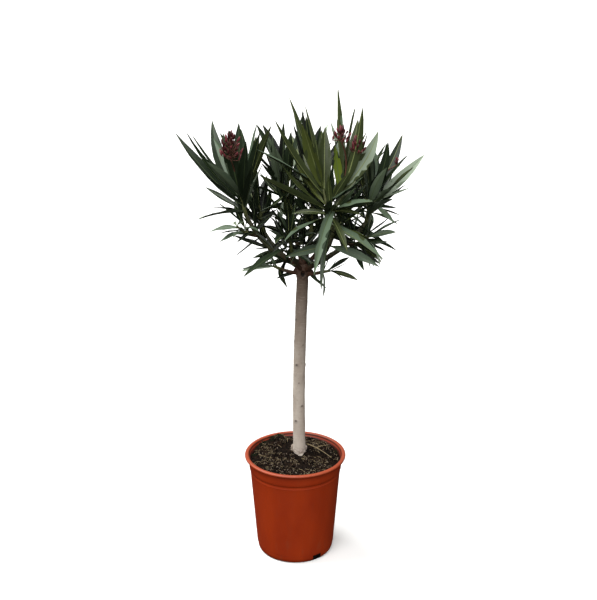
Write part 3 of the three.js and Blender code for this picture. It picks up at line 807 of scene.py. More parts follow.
    def build(self) -> None:
        """Make the pot and put it in place of its solid."""
        profile, angles = np.array(self.profile()), self.angles()
        radii = np.repeat(profile[:, :1], len(angles), axis=1)
        heights = np.repeat(profile[:, 1:], len(angles), axis=1)
        outside = np.arange(len(profile)) < 3 + len(self.foot())
        open_part = (heights <= self.notch_height) & (heights > 1.0) & (radii > self.notch_radius)
        cut = outside[:, None] & open_part & self.in_notch(angles, 1e-4)[None, :]
        radii = np.where(cut, self.notch_radius, radii)
        rings = np.stack([radii * np.cos(angles), radii * np.sin(angles), heights], -1)
        skin = Skin()
        skin.lofts(rings[None], np.array([[[0, 0, 0.0], [0, 0, self.floor]]]))
        # painted shade: in the notches, the cut faces and the inner wall behind them are painted near black for
        # the shade under the pot
        low = heights < np.where(outside, self.notch_height + 0.03, self.bevel_height + 1.0)[:, None]
        dark = low & self.in_notch(angles, 0.002)[None, :]
        soiled = self.soil_on(np.concatenate(skin.points))
        soiled[:cut.size] = np.maximum(soiled[:cut.size], dark.ravel() * 1.0)
        skin.paint(soiled=soiled)
        piece = skin.build("pot_shell", [MouldedPolypropylene().material()])
        piece.data.set_sharp_from_angle(angle=math.radians(42))
        seat(piece, ["pot"])

    def soil_on(self, points: Array) -> Array:
        """How dark the inside is at each point, from soil stains and painted shade."""
        radius, z = np.hypot(points[:, 0], points[:, 1]), points[:, 2]
        inside = (radius < self.outer(z) - 1.0) & (z > 60)
        inside |= (z > self.lip_under + 0.1) & (radius < self.lip_inner + 1.8)
        grime = Lumps(SEED + 7, self.patch).at(points[:, 0], points[:, 1]) * 0.5 + 0.5
        return np.where(inside, ease(z, *self.soiled_rim) * (self.soiled[0] + self.soiled[1] * grime), 0.0)


# ---------------------------------------------------------------- peat
class Bit(Enum):
    """The kinds of loose bit that lie on the peat."""

    CRUMB = "crumb"
    FIBRE = "fibre"


@dataclass
class Litter:
    """One scatter of loose bits over the peat, made with Geometry Nodes."""

    name: str
    finish: PlainFinish
    bit: Bit
    number: int
    least: Triple  # mm along each axis of the smallest bit
    most: Triple
    seed: int

    def tree(self) -> Tree:
        """The node tree: points on the ground, a bit on each, turned and sized at random."""
        tree = bpy.data.node_groups.new(self.name, "GeometryNodeTree")
        kinds = {"Ground": "Geometry", "Density": "Float", "Drifts": "Float", "Smallest": "Vector",
                 "Largest": "Vector", "Tilt": "Float", "Seed": "Int", "Finish": "Material"}
        for name, kind in kinds.items():
            tree.interface.new_socket(name, in_out="INPUT", socket_type=f"NodeSocket{kind}")
        tree.interface.new_socket("Bits", in_out="OUTPUT", socket_type="NodeSocketGeometry")

        def put(kind: str, inputs: Inputs, **settings: object) -> Socket:
            """Add a node and give its first output."""
            return add_node(tree, kind, inputs, **settings).outputs[0]

        given = add_node(tree, "NodeGroupInput").outputs
        seed, tilt = given["Seed"], given["Tilt"]
        drifts = put("ShaderNodeTexNoise", {"Scale": given["Drifts"], "Detail": 1.0})
        share = put("ShaderNodeMapRange", {"Value": drifts, "From Min": 0.42, "From Max": 0.62})
        crowd = put("ShaderNodeMath", {0: share, 1: given["Density"]}, operation="MULTIPLY")
        ground = {"Mesh": given["Ground"], "Density": crowd, "Seed": seed}
        points = put("GeometryNodeDistributePointsOnFaces", ground)
        size = put("FunctionNodeRandomValue", {0: given["Smallest"], 1: given["Largest"], "Seed": seed},
                   data_type="FLOAT_VECTOR")
        back = put("ShaderNodeMath", {0: tilt, 1: -1.0}, operation="MULTIPLY")
        low = put("ShaderNodeCombineXYZ", {"X": back, "Y": back, "Z": 0.0})
        high = put("ShaderNodeCombineXYZ", {"X": tilt, "Y": tilt, "Z": 2 * math.pi})
        turn = put("FunctionNodeRandomValue", {0: low, 1: high, "Seed": seed}, data_type="FLOAT_VECTOR")
        shape = self.crumb(put) if self.bit is Bit.CRUMB else self.fibre(put)
        inputs = {"Points": points, "Instance": shape, "Rotation": turn, "Scale": size}
        whole = put("GeometryNodeRealizeInstances", {"Geometry": put("GeometryNodeInstanceOnPoints", inputs)})
        dressed = put("GeometryNodeSetMaterial", {"Geometry": whole, "Material": given["Finish"]})
        add_node(tree, "NodeGroupOutput", {"Bits": dressed})
        return tree

    def crumb(self, put: Callable[..., Socket]) -> Socket:
        """An angular crumb of a few faces, a unit long."""
        crumb = put("GeometryNodeMeshIcoSphere", {"Radius": 0.5, "Subdivisions": 1})
        noise = put("ShaderNodeTexNoise", {"Scale": 1.7}, noise_dimensions="3D").node.outputs["Color"]
        shift = put("ShaderNodeVectorMath", {0: noise, 1: (-0.5, -0.5, -0.5)}, operation="ADD")
        return put("GeometryNodeSetPosition", {"Geometry": crumb, "Offset": shift})

    def fibre(self, put: Callable[..., Socket]) -> Socket:
        """A bent fibre of a few faces, a unit long."""
        ends = {"Resolution": 4, "Start": (-0.5, 0.0, 0.0), "Middle": (0.0, 0.22, 0.35), "End": (0.5, 0.0, 0.0)}
        ring = put("GeometryNodeCurvePrimitiveCircle", {"Resolution": 4, "Radius": 0.035})
        line = put("GeometryNodeCurveQuadraticBezier", ends)
        return put("GeometryNodeCurveToMesh", {"Curve": line, "Profile Curve": ring, "Fill Caps": True})

    def build(self, ground: bpy.types.Mesh, area: float) -> None:
        """Scatter the bits over a patch of ground and keep them as a plain mesh.

        Args:
            ground: The patch's mesh, in metres.
            area: Its area in square metres.
        """
        piece = bpy.data.objects.new(self.name, ground.copy())
        bpy.context.scene.collection.objects.link(piece)
        modifier = piece.modifiers.new("scatter", "NODES")
        modifier.node_group = self.tree()
        values = {
            "Density": self.number * 2 / area,
            "Drifts": 1 / (30 * MM),
            "Smallest": [size * MM for size in self.least],
            "Largest": [size * MM for size in self.most],
            "Tilt": 0.5 if self.bit is Bit.FIBRE else math.pi,
            "Seed": self.seed,
            "Finish": self.finish.material(),
        }
        for item in modifier.node_group.interface.items_tree:
            if item.in_out == "INPUT" and item.name in values:
                modifier[item.identifier] = values[item.name]
        made = bpy.data.meshes.new_from_object(piece.evaluated_get(bpy.context.evaluated_depsgraph_get()))
        piece.modifiers.remove(modifier)
        piece.data, made.name = made, self.name
        seat(piece)


LITTER = (
    Litter("peat_crumbs", CRUMB, Bit.CRUMB, 2300, (1.8, 1.4, 1.2), (6.4, 4.6, 3.4), 3),
    Litter("peat_crumbs_brown", CRUMB_BROWN, Bit.CRUMB, 1100, (1.4, 1.2, 0.8), (6.0, 4.0, 2.6), 5),
    Litter("bark_chips", CHIP, Bit.CRUMB, 420, (1.8, 1.2, 0.6), (8.5, 3.4, 1.8), 8),
    Litter("straw_fibres", STRAW, Bit.FIBRE, 420, (4.0, 5.0, 4.0), (14.0, 13.0, 9.0), 13),
    Litter("root_fibres", ROOT_FIBRE, Bit.FIBRE, 520, (5.0, 6.0, 6.0), (18.0, 15.0, 11.0), 21),
)


@dataclass
class PeatBed:
    """The peat in the pot: a lumpy top a little under the rim, and the bits that lie on it."""

    pot: NurseryPot
    edge: float = 186.4
    heaps: tuple[tuple[float, float, float, float], ...] = (  # place, breadth and height of each heap
        (-7, 10, 6.5, 6.0), (23, 11, 6.0, 6.0), (8, 40, 12, 4.5), (-34, 72, 17, 9.0), (-62, 48, 15, 6.0),
        (26, 74, 18, 3.6), (-40, 4, 22, 2.0))
    rings: int = 50
    sides: int = 168
    lumps: Sizes = ((24.0, 1.5), (9.0, 1.2), (4.2, 0.9), (2.1, 0.45))  # breadth and height
    bare: int = 2  # rings along the wall with nothing strewn on them
    strewn: float = 83.0  # radius that the strewing covers
    tufts: tuple[tuple[float, float, float, int], ...] = (  # place, height and number of moss shoots
        (-34, 73, 5.0, 34), (-27, 76, 4.6, 26), (-45, 66, 4.6, 34), (-60, 52, 4.2, 30), (-70, 38, 3.6, 20),
        (-78, 8, 3.5, 22), (-18, 77, 3.6, 16), (77, 24, 3.5, 22), (62, -44, 3.0, 14), (20, -74, 3.0, 14),
        (-42, -34, 2.6, 10), (50, 54, 3.0, 14))
    tuft_reach: float = 82.0

    def top(self, x: Array, y: Array) -> Array:
        """The height of the peat at a point, higher towards the back and against the stem's sides."""
        z = self.edge + 1.6 * ease(y, 0.0, 80.0)
        for at_x, at_y, size, height in self.heaps:
            z = z + height * np.exp(-((x - at_x) ** 2 + (y - at_y) ** 2) / size ** 2)
        for k, (cell, size) in enumerate(self.lumps):
            z = z + Lumps(SEED + 11 + k, cell).at(x, y) * size
        return z

    def surface(self) -> Array:
        """The top's points, ring by ring from the wall inwards."""
        reach = self.pot.inner(self.edge) - 0.35
        angles = turns_of(self.sides)
        radii = reach * np.linspace(1, 0.02, self.rings)[:, None]
        x, y = radii * np.cos(angles), radii * np.sin(angles)
        return np.stack([x, y, self.top(x, y)], -1)

    def build(self) -> None:
        """Make the bed, its litter, the moss and the dry stalk."""
        surface, angles = self.surface(), turns_of(self.sides)
        walls = [(self.pot.inner(z) - gap, z) for gap, z in ((0.5, 15.0), (0.4, 100.0), (0.35, 180.0))]
        sides = np.array([[(r * math.cos(a), r * math.sin(a), z) for a in angles]
                          for r, z in ((58.0, 3.4), (64.0, 5.0), *walls)])
        skin = Skin()
        middle = [0.0, 0.0, float(self.top(np.zeros(1), np.zeros(1))[0])]
        skin.lofts(np.concatenate([sides, surface])[None], np.array([[[0, 0, 3.4], middle]]))
        seat(skin.build("peat_bed", [PeatMix().material()]), ["soil"])
        self.scatter(surface[self.bare:])
        self.moss()
        self.stalk()

    def scatter(self, surface: Array) -> None:
        """Crumbs, chips and fibres over the top."""
        ground = bpy.data.meshes.new("peat_ground")
        quads = ring_quads(*surface.shape[:2]).reshape(-1, 4)
        ground.from_pydata((surface.reshape(-1, 3) * MM).tolist(), [], quads.tolist())
        for litter in LITTER:
            litter.build(ground, math.pi * (self.strewn * MM) ** 2)

    def moss(self) -> None:
        """Small green tufts, mostly along the wall at the back left."""
        rng = np.random.default_rng(SEED + 31)
        roots, tips, wide = [], [], []
        for x, y, tall, number in self.tufts:
            spot = rng.normal(0, 3.6, (number, 2)) + (x, y)
            spot *= np.minimum(1, self.tuft_reach / np.linalg.norm(spot, axis=1))[:, None]
            lean = rng.normal(0, 0.55, (number, 2)) * tall * 0.5
            z = self.top(spot[:, 0], spot[:, 1]) - 0.4
            height = tall * rng.uniform(0.5, 1.0, number)
            roots.append(np.column_stack([spot, z]))
            tips.append(np.column_stack([spot + lean, z + height]))
            wide.append(rng.uniform(0.5, 1.0, number))
        root, tip, half = np.concatenate(roots), np.concatenate(tips), np.concatenate(wide)
        turn = rng.uniform(0, 2 * math.pi, len(root))[:, None] + np.arange(3) * 2 * math.pi / 3
        ring = spokes(turn) * half[:, None, None]
        low, waist = root[:, None] + ring * 0.6, (root * 0.45 + tip * 0.55)[:, None] + ring
        skin = Skin()
        skin.lofts(np.stack([low, waist], 1), np.stack([root, tip], 1))
        seat(skin.build("moss_tufts", [MOSS.material()], smooth=False))

    def stalk(self) -> None:
        """A dry stalk and a side twig that lie across the peat."""
        skin = Skin()
        t = np.linspace(0, 1, 22)[:, None]
        line = arc_through(*np.array([(22.0, 50.0, 0), (44.0, 30.0, 0), (68.0, -8.0, 0)]), t)
        line[:, 2] = 190.6 + 1.2 * np.sin(t[:, 0] * math.pi)
        skin.tube(line, np.linspace(1.0, 0.5, 22), 7)
        fork = np.array([line[9], line[9] + (9, 7, 1.6), line[9] + (17, 9, 0.9), line[9] + (24, 15, 0.2)])
        skin.tube(fork, np.linspace(0.6, 0.3, 4), 6)
        seat(skin.build("dry_stalk", [STRAW.material()]))


# ---------------------------------------------------------------- stem
@dataclass
class Stem:
    """The clear stem from the peat to the fork, with its flare, collar, stubs, scar and knots."""

    x: float = 8.0
    y: float = 19.0
    foot: float = 188.3
    height: float = 378.0
    lean: float = 5.5
    back: float = -8.0
    bend: float = 2.2
    flare: float = 0.8
    flare_height: float = 22.0
    lobes: int = 4
    lobe_depth: float = 0.03
    foot_radius: float = 11.6
    top_radius: float = 10.6
    collar_radius: float = 14.6
    collar_height: float = 26.0
    cap_height: float = 6.0
    sides: int = 88
    rings: int = 250
    buried: float = 3.0
    # azimuth, height, half width, half height and depth of the hollow where a limb was cut off
    scar: Quint = (-90.0, 362.0, 4.2, 6.4, 5.6)
    scar_lip: float = 1.3
    knots: tuple[Triple, ...] = (  # azimuth, height, size
        (-117, 186, 2.6), (-61, 103, 2.4), (-119, 72, 2.6), (-144, 274, 2.2), (-30, 312, 2.2), (-11, 183, 2.2),
        (-157, 231, 1.8), (-61, 225, 1.4), (-92, 150, 1.3), (60, 96, 2.4), (118, 168, 2.2), (84, 252, 2.4),
        (150, 300, 2.0), (20, 60, 2.0), (170, 120, 2.0))
    stubs: tuple[Quint, ...] = (  # azimuth, drop, length, rise, radius
        (205, 15, 17, 5, 4.4), (-28, 17, 20, 5, 5.0))
    stub_sides: int = 20
    stub_steps: int = 16
    lumps: tuple[Quint, ...] = (  # place, half width and half height
        (-4.4, 25.0, 194.5, 4.2, 8.0), (20.0, 24.0, 195.5, 2.6, 5.0))
    lump_sides: int = 18
    lump_rings: int = 14

    def path(self, steps: int = 12) -> Array:
        """The stem's centre line from its cut to the fork."""
        t = np.linspace(0, 1, steps + 1)
        return self.centre(t * self.height)

    def centre(self, height: Array) -> Array:
        """The stem's centre at heights above its cut."""
        t = height / self.height
        sway = np.sin(t * math.pi * 1.6) * self.bend
        x, y = self.x + self.lean * t ** 3 - sway * 0.5, self.y + self.back * t - sway
        return np.stack([x, y, self.foot + height], -1)

    def radius(self, height: Array | float) -> Array:
        """The stem's radius at heights above its cut, with its flare and collar."""
        share = np.asarray(height) / self.height
        flare = self.flare * np.maximum(0, 1 - np.asarray(height) / self.flare_height) ** 2
        below = (self.height - np.asarray(height)) / self.collar_height
        collar = (self.collar_radius - self.top_radius) * np.maximum(0, 1 - below) ** 0.7
        return mix(self.foot_radius, self.top_radius, share) + flare + collar

    def marks(self, angle: Array, height: Array) -> tuple[Array, Array, Array]:
        """The relief of knots and the scar, the knots' stain, and painted shade in the scar's hollow.

        Args:
            angle: Angles round the stem, in radians.
            height: Heights above its cut.

        Returns:
            How far the bark stands out, how dark it is (knot stains, and painted shade in the scar's hollow),
            and how deep the scar is.
        """
        out, dark = np.zeros_like(angle), np.zeros_like(angle)
        radius = self.radius(height)

        def distance(azimuth: float, at: float, wide: float, tall: float) -> Array:
            """How far points are from a mark, counted in its half width and half height."""
            off = np.mod(angle - math.radians(azimuth) + math.pi, 2 * math.pi) - math.pi
            return np.sqrt((off * radius / wide) ** 2 + ((height - at) / tall) ** 2)

        for azimuth, at, size in self.knots:
            near = distance(azimuth, at, size, size * 0.8)
            out += size * 0.5 * np.exp(-near ** 2 / 1.6) - size * 0.45 * np.exp(-(near / 0.5) ** 2)
            dark = np.maximum(dark, np.exp(-(near / 0.95) ** 2))
        *place, deep = self.scar
        near = distance(*place)
        hollow = np.sqrt(np.clip(1 - near ** 2, 0, 1)) * deep
        out += self.scar_lip * np.exp(-((near - 1.22) / 0.3) ** 2)
        # painted shade: the scar's hollow is painted dark all over, for the shade inside it
        return out, np.maximum(dark, ease(near, 1.08, 0.8)), hollow

    def build(self) -> None:
        """Make the stem and put it in place of its solid."""
        heights = np.concatenate([[-self.buried, -self.buried / 2], np.linspace(0, self.height, self.rings)])
        height, angle = np.broadcast_arrays(heights[:, None], turns_of(self.sides)[None, :])
        level = np.clip(height, 0, self.height)
        lobes = np.maximum(0, 1 - level / self.flare_height) * self.lobe_depth
        cap = np.sqrt(np.clip((self.height - level) / self.cap_height, 0, 1))
        out, dark, hollow = self.marks(angle, level)
        broad = Ripple(SEED + 41, (1, 4), (28, 90)).at(angle, level)
        lines = Ripple(SEED + 42, (9, 26), (30, 110), 26).at(angle, level)
        wrinkle = Ripple(SEED + 43, (0, 2), (3.4, 9.0), 22).at(angle, level)
        lumpy = Ripple(SEED + 44, (2, 7), (5, 16), 22).at(angle, level)
        near_fork = ease(level, self.height - 40, self.height - 8)
        near_foot = ease(level, 26, 2)
        relief = out + 0.34 * broad + 0.13 * lines + 0.12 * wrinkle
        relief = relief + lumpy * (0.12 + 0.75 * near_fork + 0.5 * near_foot)
        radius = self.radius(level) * (1 + lobes * np.sin(angle * self.lobes)) + relief - hollow
        centre = self.centre(level)
        centre[..., 2] = self.foot + height
        rings = centre + spokes(angle) * (radius * (0.62 + 0.38 * cap))[..., None]
        skin = Skin()
        skin.lofts(rings[None], np.array([[rings[0].mean(0), rings[-1].mean(0) + (0, 0, 0.2)]]))
        crusty = Ripple(SEED + 45, (1, 8), (5, 22), 24).at(angle, level)
        crust = ease(level + 7 * crusty, 22, 8) * ease(crusty, -0.8, 0.5)
        collar = np.clip(near_fork * (0.5 + 0.25 * lumpy), 0, 1)
        skin.paint(**{name: np.append(given.ravel(), [0.0, given[-1].mean()])
                      for name, given in (("knot", dark), ("crust", crust), ("collar", collar))})
        self.add_stubs(skin)
        self.add_lumps(skin)
        seat(skin.build("stem_bark", [StemBark().material()]), ["trunk"])

    def add_stubs(self, skin: Skin) -> None:
        """Add the pruned stubs, with rounded calluses at their ends."""
        share = np.linspace(0, 1, self.stub_steps + 1)
        for k, (azimuth, drop, length, rise, radius) in enumerate(self.stubs):
            start = point_along(self.path(), 1 - drop / self.height)
            line = limb_path(start, azimuth, length, rise, 0.0, self.stub_steps)
            closing = np.sqrt(np.clip((1.04 - share) / 0.09, 0, 1))
            taper = mix(radius, radius * 0.8, share) * closing * (1 + 0.12 * ease(share, 0.7, 0.95))
            waves = Ripple(SEED + 50 + k, (2, 6), (5, 12))
            relief = 1 + 0.07 * waves.at(turns_of(self.stub_sides)[None, :], share[:, None] * length)
            skin.tube(line, taper[:, None] * relief, self.stub_sides)
            ends = np.append(np.repeat(ease(share, 0.86, 0.98) * 0.55, self.stub_sides), [0.0, 0.6])
            skin.paint(knot=ends, crust=ends * 0, collar=ends * 0 + 0.8)

    def add_lumps(self, skin: Skin) -> None:
        """Add the chalky lumps that stand against the stem's foot."""
        rise = np.linspace(-0.985, 0.985, self.lump_rings)[:, None]
        angles = turns_of(self.lump_sides)
        for k, (x, y, z, wide, tall) in enumerate(self.lumps):
            rough = Ripple(SEED + 60 + k, (2, 5), (3, 8)).at(angles[None, :], rise * tall)
            radius = wide * np.sqrt(1 - rise ** 2) * (1 + 0.2 * rough)
            rings = np.array([x, y, z]) + spokes(angles)[None] * radius[..., None]
            rings = rings + (rise * tall)[..., None] * UP
            skin.lofts(rings[None], np.array([[[x, y, z - tall], [x, y, z + tall]]]))
            none = np.zeros(radius.size + 2)
            skin.paint(knot=none, crust=none + 1, collar=none)


# ---------------------------------------------------------------- boughs
@dataclass(frozen=True)
class Bough:
    """One tapering bough: the limb it parts from, its place there, heading, reach and rise."""

    parent: str
    along: float
    azimuth: float
    reach: float
    rise: float
    bow: float
    start: float  # radius where it parts
    end: float  # radius at its tip

    def line(self, paths: dict[str, Array], steps: int) -> Array:
        """Its centre line, from its parent's."""
        start = point_along(paths[self.parent], self.along)
        return limb_path(start, self.azimuth, self.reach, self.rise, self.bow, steps)


BOUGHS = {
    "bough_left": Bough("trunk", 0.985, 197, 104, 104, 0.2, 6.6, 3.8),
    "bough_front": Bough("trunk", 0.965, -57, 92, 86, 0.16, 6.4, 4.4),
    "bough_right": Bough("trunk", 0.975, -9, 112, 92, 0.16, 6.6, 3.8),
    "bough_middle": Bough("trunk", 0.99, 112, 36, 44, 0.05, 6, 3.8),
    "bough_centre": Bough("trunk", 1, 10, 14, 40, 0, 5.6, 3.8),
    "bough_back_right": Bough("trunk", 0.98, 38, 84, 76, 0.12, 6, 3.6),
    "bough_back_left": Bough("trunk", 0.97, 146, 84, 56, 0.16, 6, 3.6),
    "bough_back": Bough("trunk", 0.965, 80, 96, 62, 0.16, 6, 3.6),
    "bough_front_left": Bough("trunk", 0.96, 248, 52, 52, 0.1, 5, 3.4),
    "bough_low_left": Bough("trunk", 0.95, 206, 46, 16, 0.1, 4.2, 3.2),
    "bough_low_right": Bough("trunk", 0.945, -34, 40, 12, 0.1, 4.2, 3.2),
    "bough_low_back": Bough("trunk", 0.945, 112, 46, 16, 0.1, 4.2, 3.2),
    "bough_left_spur": Bough("bough_left", 0.7, 214, 24, 8, 0.1, 3.6, 3),
    "bough_right_spur": Bough("bough_right", 0.62, -44, 28, 6, 0.1, 3.6, 3),
    "bough_side_spur": Bough("bough_back_right", 0.6, 74, 36, 6, 0.1, 3.6, 3),
}


@dataclass
class Limbs:
    """The stem's and the boughs' centre lines, and the boughs' bark."""

    stem: Stem
    steps: int = 6
    sides: int = 18
    rings: int = 40
    scar_pitch: float = 13.0  # mm from one ring of leaf scars to the next

    def paths(self) -> dict[str, Array]:
        """Every limb's centre line, as the frame has it."""
        made = {"trunk": self.stem.path()}
        for name, bough in BOUGHS.items():
            made[name] = bough.line(made, self.steps)
        return made

    def build(self) -> None:
        """Make the boughs as one piece and put it in place of their solids."""
        paths, skin, angles = self.paths(), Skin(), turns_of(self.sides)
        share = np.linspace(0, 1, self.rings + 1)
        for k, bough in enumerate(BOUGHS.values()):
            line = bough.line(paths, self.rings)
            run = np.append(0, np.cumsum(np.linalg.norm(np.diff(line, axis=0), axis=1)))
            scars = np.exp(-((np.mod(run, self.scar_pitch) - self.scar_pitch / 2) / 1.3) ** 2)
            root = 1 + 0.25 * np.exp(-run / 8)
            taper = mix(bough.start * 0.82, bough.end * 0.9, share ** 0.8) * root + 0.3 * scars
            waves = Ripple(SEED + 70 + k, (1, 5), (7, 30)).at(angles[None, :], run[:, None])
            skin.tube(line, taper[:, None] + 0.22 * waves, self.sides)
            old = 0.5 if bough.parent != "trunk" else 0.95
            age = old * ease(run, 62, 16)[:, None] + 0.12 * waves + 0.15 * scars[:, None]
            skin.paint(age=np.append(np.clip(age, 0, 1).ravel(), [1.0, 0.0]))
        seat(skin.build("bough_bark", [BoughBark().material()]), list(BOUGHS))


# ---------------------------------------------------------------- crown
@dataclass(frozen=True)
class Head:
    """A flower head in bud: where its middle stands from the shoot's tip, its size and its buds."""

    offset: Triple
    wide: float
    tall: float
    buds: int


@dataclass(frozen=True)
class Mass:
    """One mass of foliage: its bough, its stem and side shoots, its leaves and its buds."""

    bough: str
    stem: Triple  # heading, reach, rise
    whorls: int
    leaf: float
    spread: tuple[float, float]  # the leaf's angle to its twig, low whorl and high
    droop: tuple[float, float]
    turn: float
    tints: tuple[Tint, ...]
    sides: tuple[tuple[float, float, float, float, int], ...] = ()
    heads: tuple[Head, ...] = ()  # flower heads at the stem's tip
    side_heads: tuple[Head, ...] = ()


# the masses with no finer growth
BARE = ("foliage_upper_left", "foliage_lower_left", "foliage_low_left", "foliage_low_right")
# mostly the near-black tint, which is painted shade
DARK = (DEEP, GREEN, DEEP, DEEP)
MIXED = (GREEN, DEEP, GREY, OLIVE, PALE)
WARM = (OLIVE, GOLDEN, GREEN, OLIVE)
DULL = (GREY, GREEN, PALE, GREY)
MASSES = {
    "foliage_upper_left": Mass("bough_left", (205, 9, 38), 6, 149, (56, 19), (11, -14), 117, MIXED,
        ((0.4, 70, 14, 22, 2),), (Head((-13, -40, 92), 22, 27, 48),)),
    "foliage_lower_left": Mass("bough_left_spur", (192, 18, 14), 4, 82, (76, 43), (24, 14), 33, DULL),
    "foliage_front": Mass("bough_front", (132, 24, 78), 8, 188, (106, 18), (28, -12), 15, WARM,
        ((0.4, 38, 30, 48, 4),), (), (Head((-4, -14, 94), 16, 13, 22), Head((22, -12, 75), 15, 15, 24))),
    "foliage_upper_right": Mass("bough_right", (-10, 8, 48), 6, 135, (65, 15), (3, -11), 43, MIXED,
        ((0.4, 120, 14, 26, 2),), (Head((43, 3, 58), 6, 7, 5),)),
    "foliage_lower_right": Mass("bough_right_spur", (-24, 18, 14), 4, 83, (92, 45), (16, 18), 29, DULL),
    "foliage_middle": Mass("bough_middle", (165, 16, 104), 8, 132, (88, 21), (17, -11), 115, MIXED,
        ((0.6, 220, 20, 30, 2),)),
    "foliage_centre": Mass("bough_centre", (60, 8, 112), 8, 125, (98, 20), (17, -9), 78, DARK),
    "foliage_back_right": Mass("bough_back_right", (30, 12, 66), 6, 136, (83, 20), (19, -8), 0, MIXED),
    "foliage_back_left": Mass("bough_back_left", (170, 12, 62), 6, 136, (73, 20), (23, -12), 117, DARK),
    "foliage_back": Mass("bough_back", (90, 14, 66), 6, 145, (73, 24), (19, -5), 119, MIXED),
    "foliage_front_left": Mass("bough_front_left", (240, 10, 34), 5, 105, (83, 37), (21, 6), 76, DARK),
    "foliage_low_left": Mass("bough_low_left", (200, 12, 6), 3, 69, (72, 39), (25, 15), 67, DULL),
    "foliage_low_right": Mass("bough_low_right", (-20, 16, 4), 3, 67, (78, 40), (25, 16), 114, MIXED),
    "foliage_low_back": Mass("bough_low_back", (120, 22, 10), 3, 84, (91, 46), (19, 20), 44, DARK),
    "foliage_side": Mass("bough_side_spur", (60, 20, 16), 4, 104, (82, 44), (29, 16), 48, MIXED),
}


@dataclass
class Shoot:
    """One leafy shoot: its line, its radii, and the whorls and buds that it carries."""

    path: Array
    fine: Array  # the same line with more points
    start: float
    end: float
    whorls: int
    first: float
    heads: tuple[Head, ...]


@dataclass
class Leaf:
    """One leaf: its centre line at four shares, its width, and its tints above and below."""

    centres: Array
    across: Array
    half: float
    length: float
    tint: Tint
    under: Under


@dataclass
class Wish:
    """How a leaf would stand if it had all the room it needs."""

    angle: float
    spread: float
    droop: float
    length: float
    twist: float


@dataclass(frozen=True)
class Sprig:
    """A leafy side twig low in the head: its bough and place there, its line, and its leaves."""

    bough: str
    along: float
    azimuth: float
    reach: float
    rise: float
    spread: float
    droop: float
    leaf: float


@dataclass(frozen=True)
class LoneLeaf:
    """A leaf that hangs by itself from a bough: its place there, its heading, its droop and its length."""

    bough: str
    along: float
    azimuth: float
    spread: float  # its angle from straight up
    droop: float
    length: float
    tint: Tint


LOW_SPRIGS = (
    Sprig("bough_front", 0.8, 186, 12, 4, 92, 16, 104),
    Sprig("bough_right", 0.34, 40, 22, 6, 76, 12, 80),
    Sprig("bough_left", 0.5, 246, 20, 5, 80, 12, 88),
    Sprig("bough_left", 0.74, 172, 20, 6, 80, 12, 92),
    Sprig("bough_front_left", 0.5, 200, 18, 4, 80, 12, 78),
    Sprig("bough_back_left", 0.4, 190, 20, 8, 76, 10, 78),
    Sprig("bough_back_right", 0.4, -10, 20, 8, 76, 10, 78),
)
LONE_LEAVES = (
    LoneLeaf("bough_front", 0.82, -18, 96, 16, 98, GREY),
    LoneLeaf("bough_front", 0.8, 224, 74, 18, 100, GREY),
    LoneLeaf("bough_right", 0.56, -16, 98, 18, 76, GREEN),
    LoneLeaf("bough_right", 0.66, -30, 100, 20, 76, OLIVE),
    LoneLeaf("bough_low_left", 0.22, 208, 86, 10, 44, DEEP),
    LoneLeaf("bough_low_right", 0.3, -40, 100, 12, 46, GREEN),
)


@dataclass(frozen=True)
class Lean:
    """How far a single leaf's tip leans from where the rule puts it, in millimetres, and how it looks."""

    x: float
    z: float
    y: float = 0.0
    tint: Tint | None = None
    open: float = 0.0  # how far its upper side is turned to the front, or below 0, its edge
    wide: float = 1.0


FALLEN = None
KNOTS = np.array([0.0, 0.34, 0.7, 1.0])  # the shares of a leaf's length at which the rule sets its centres
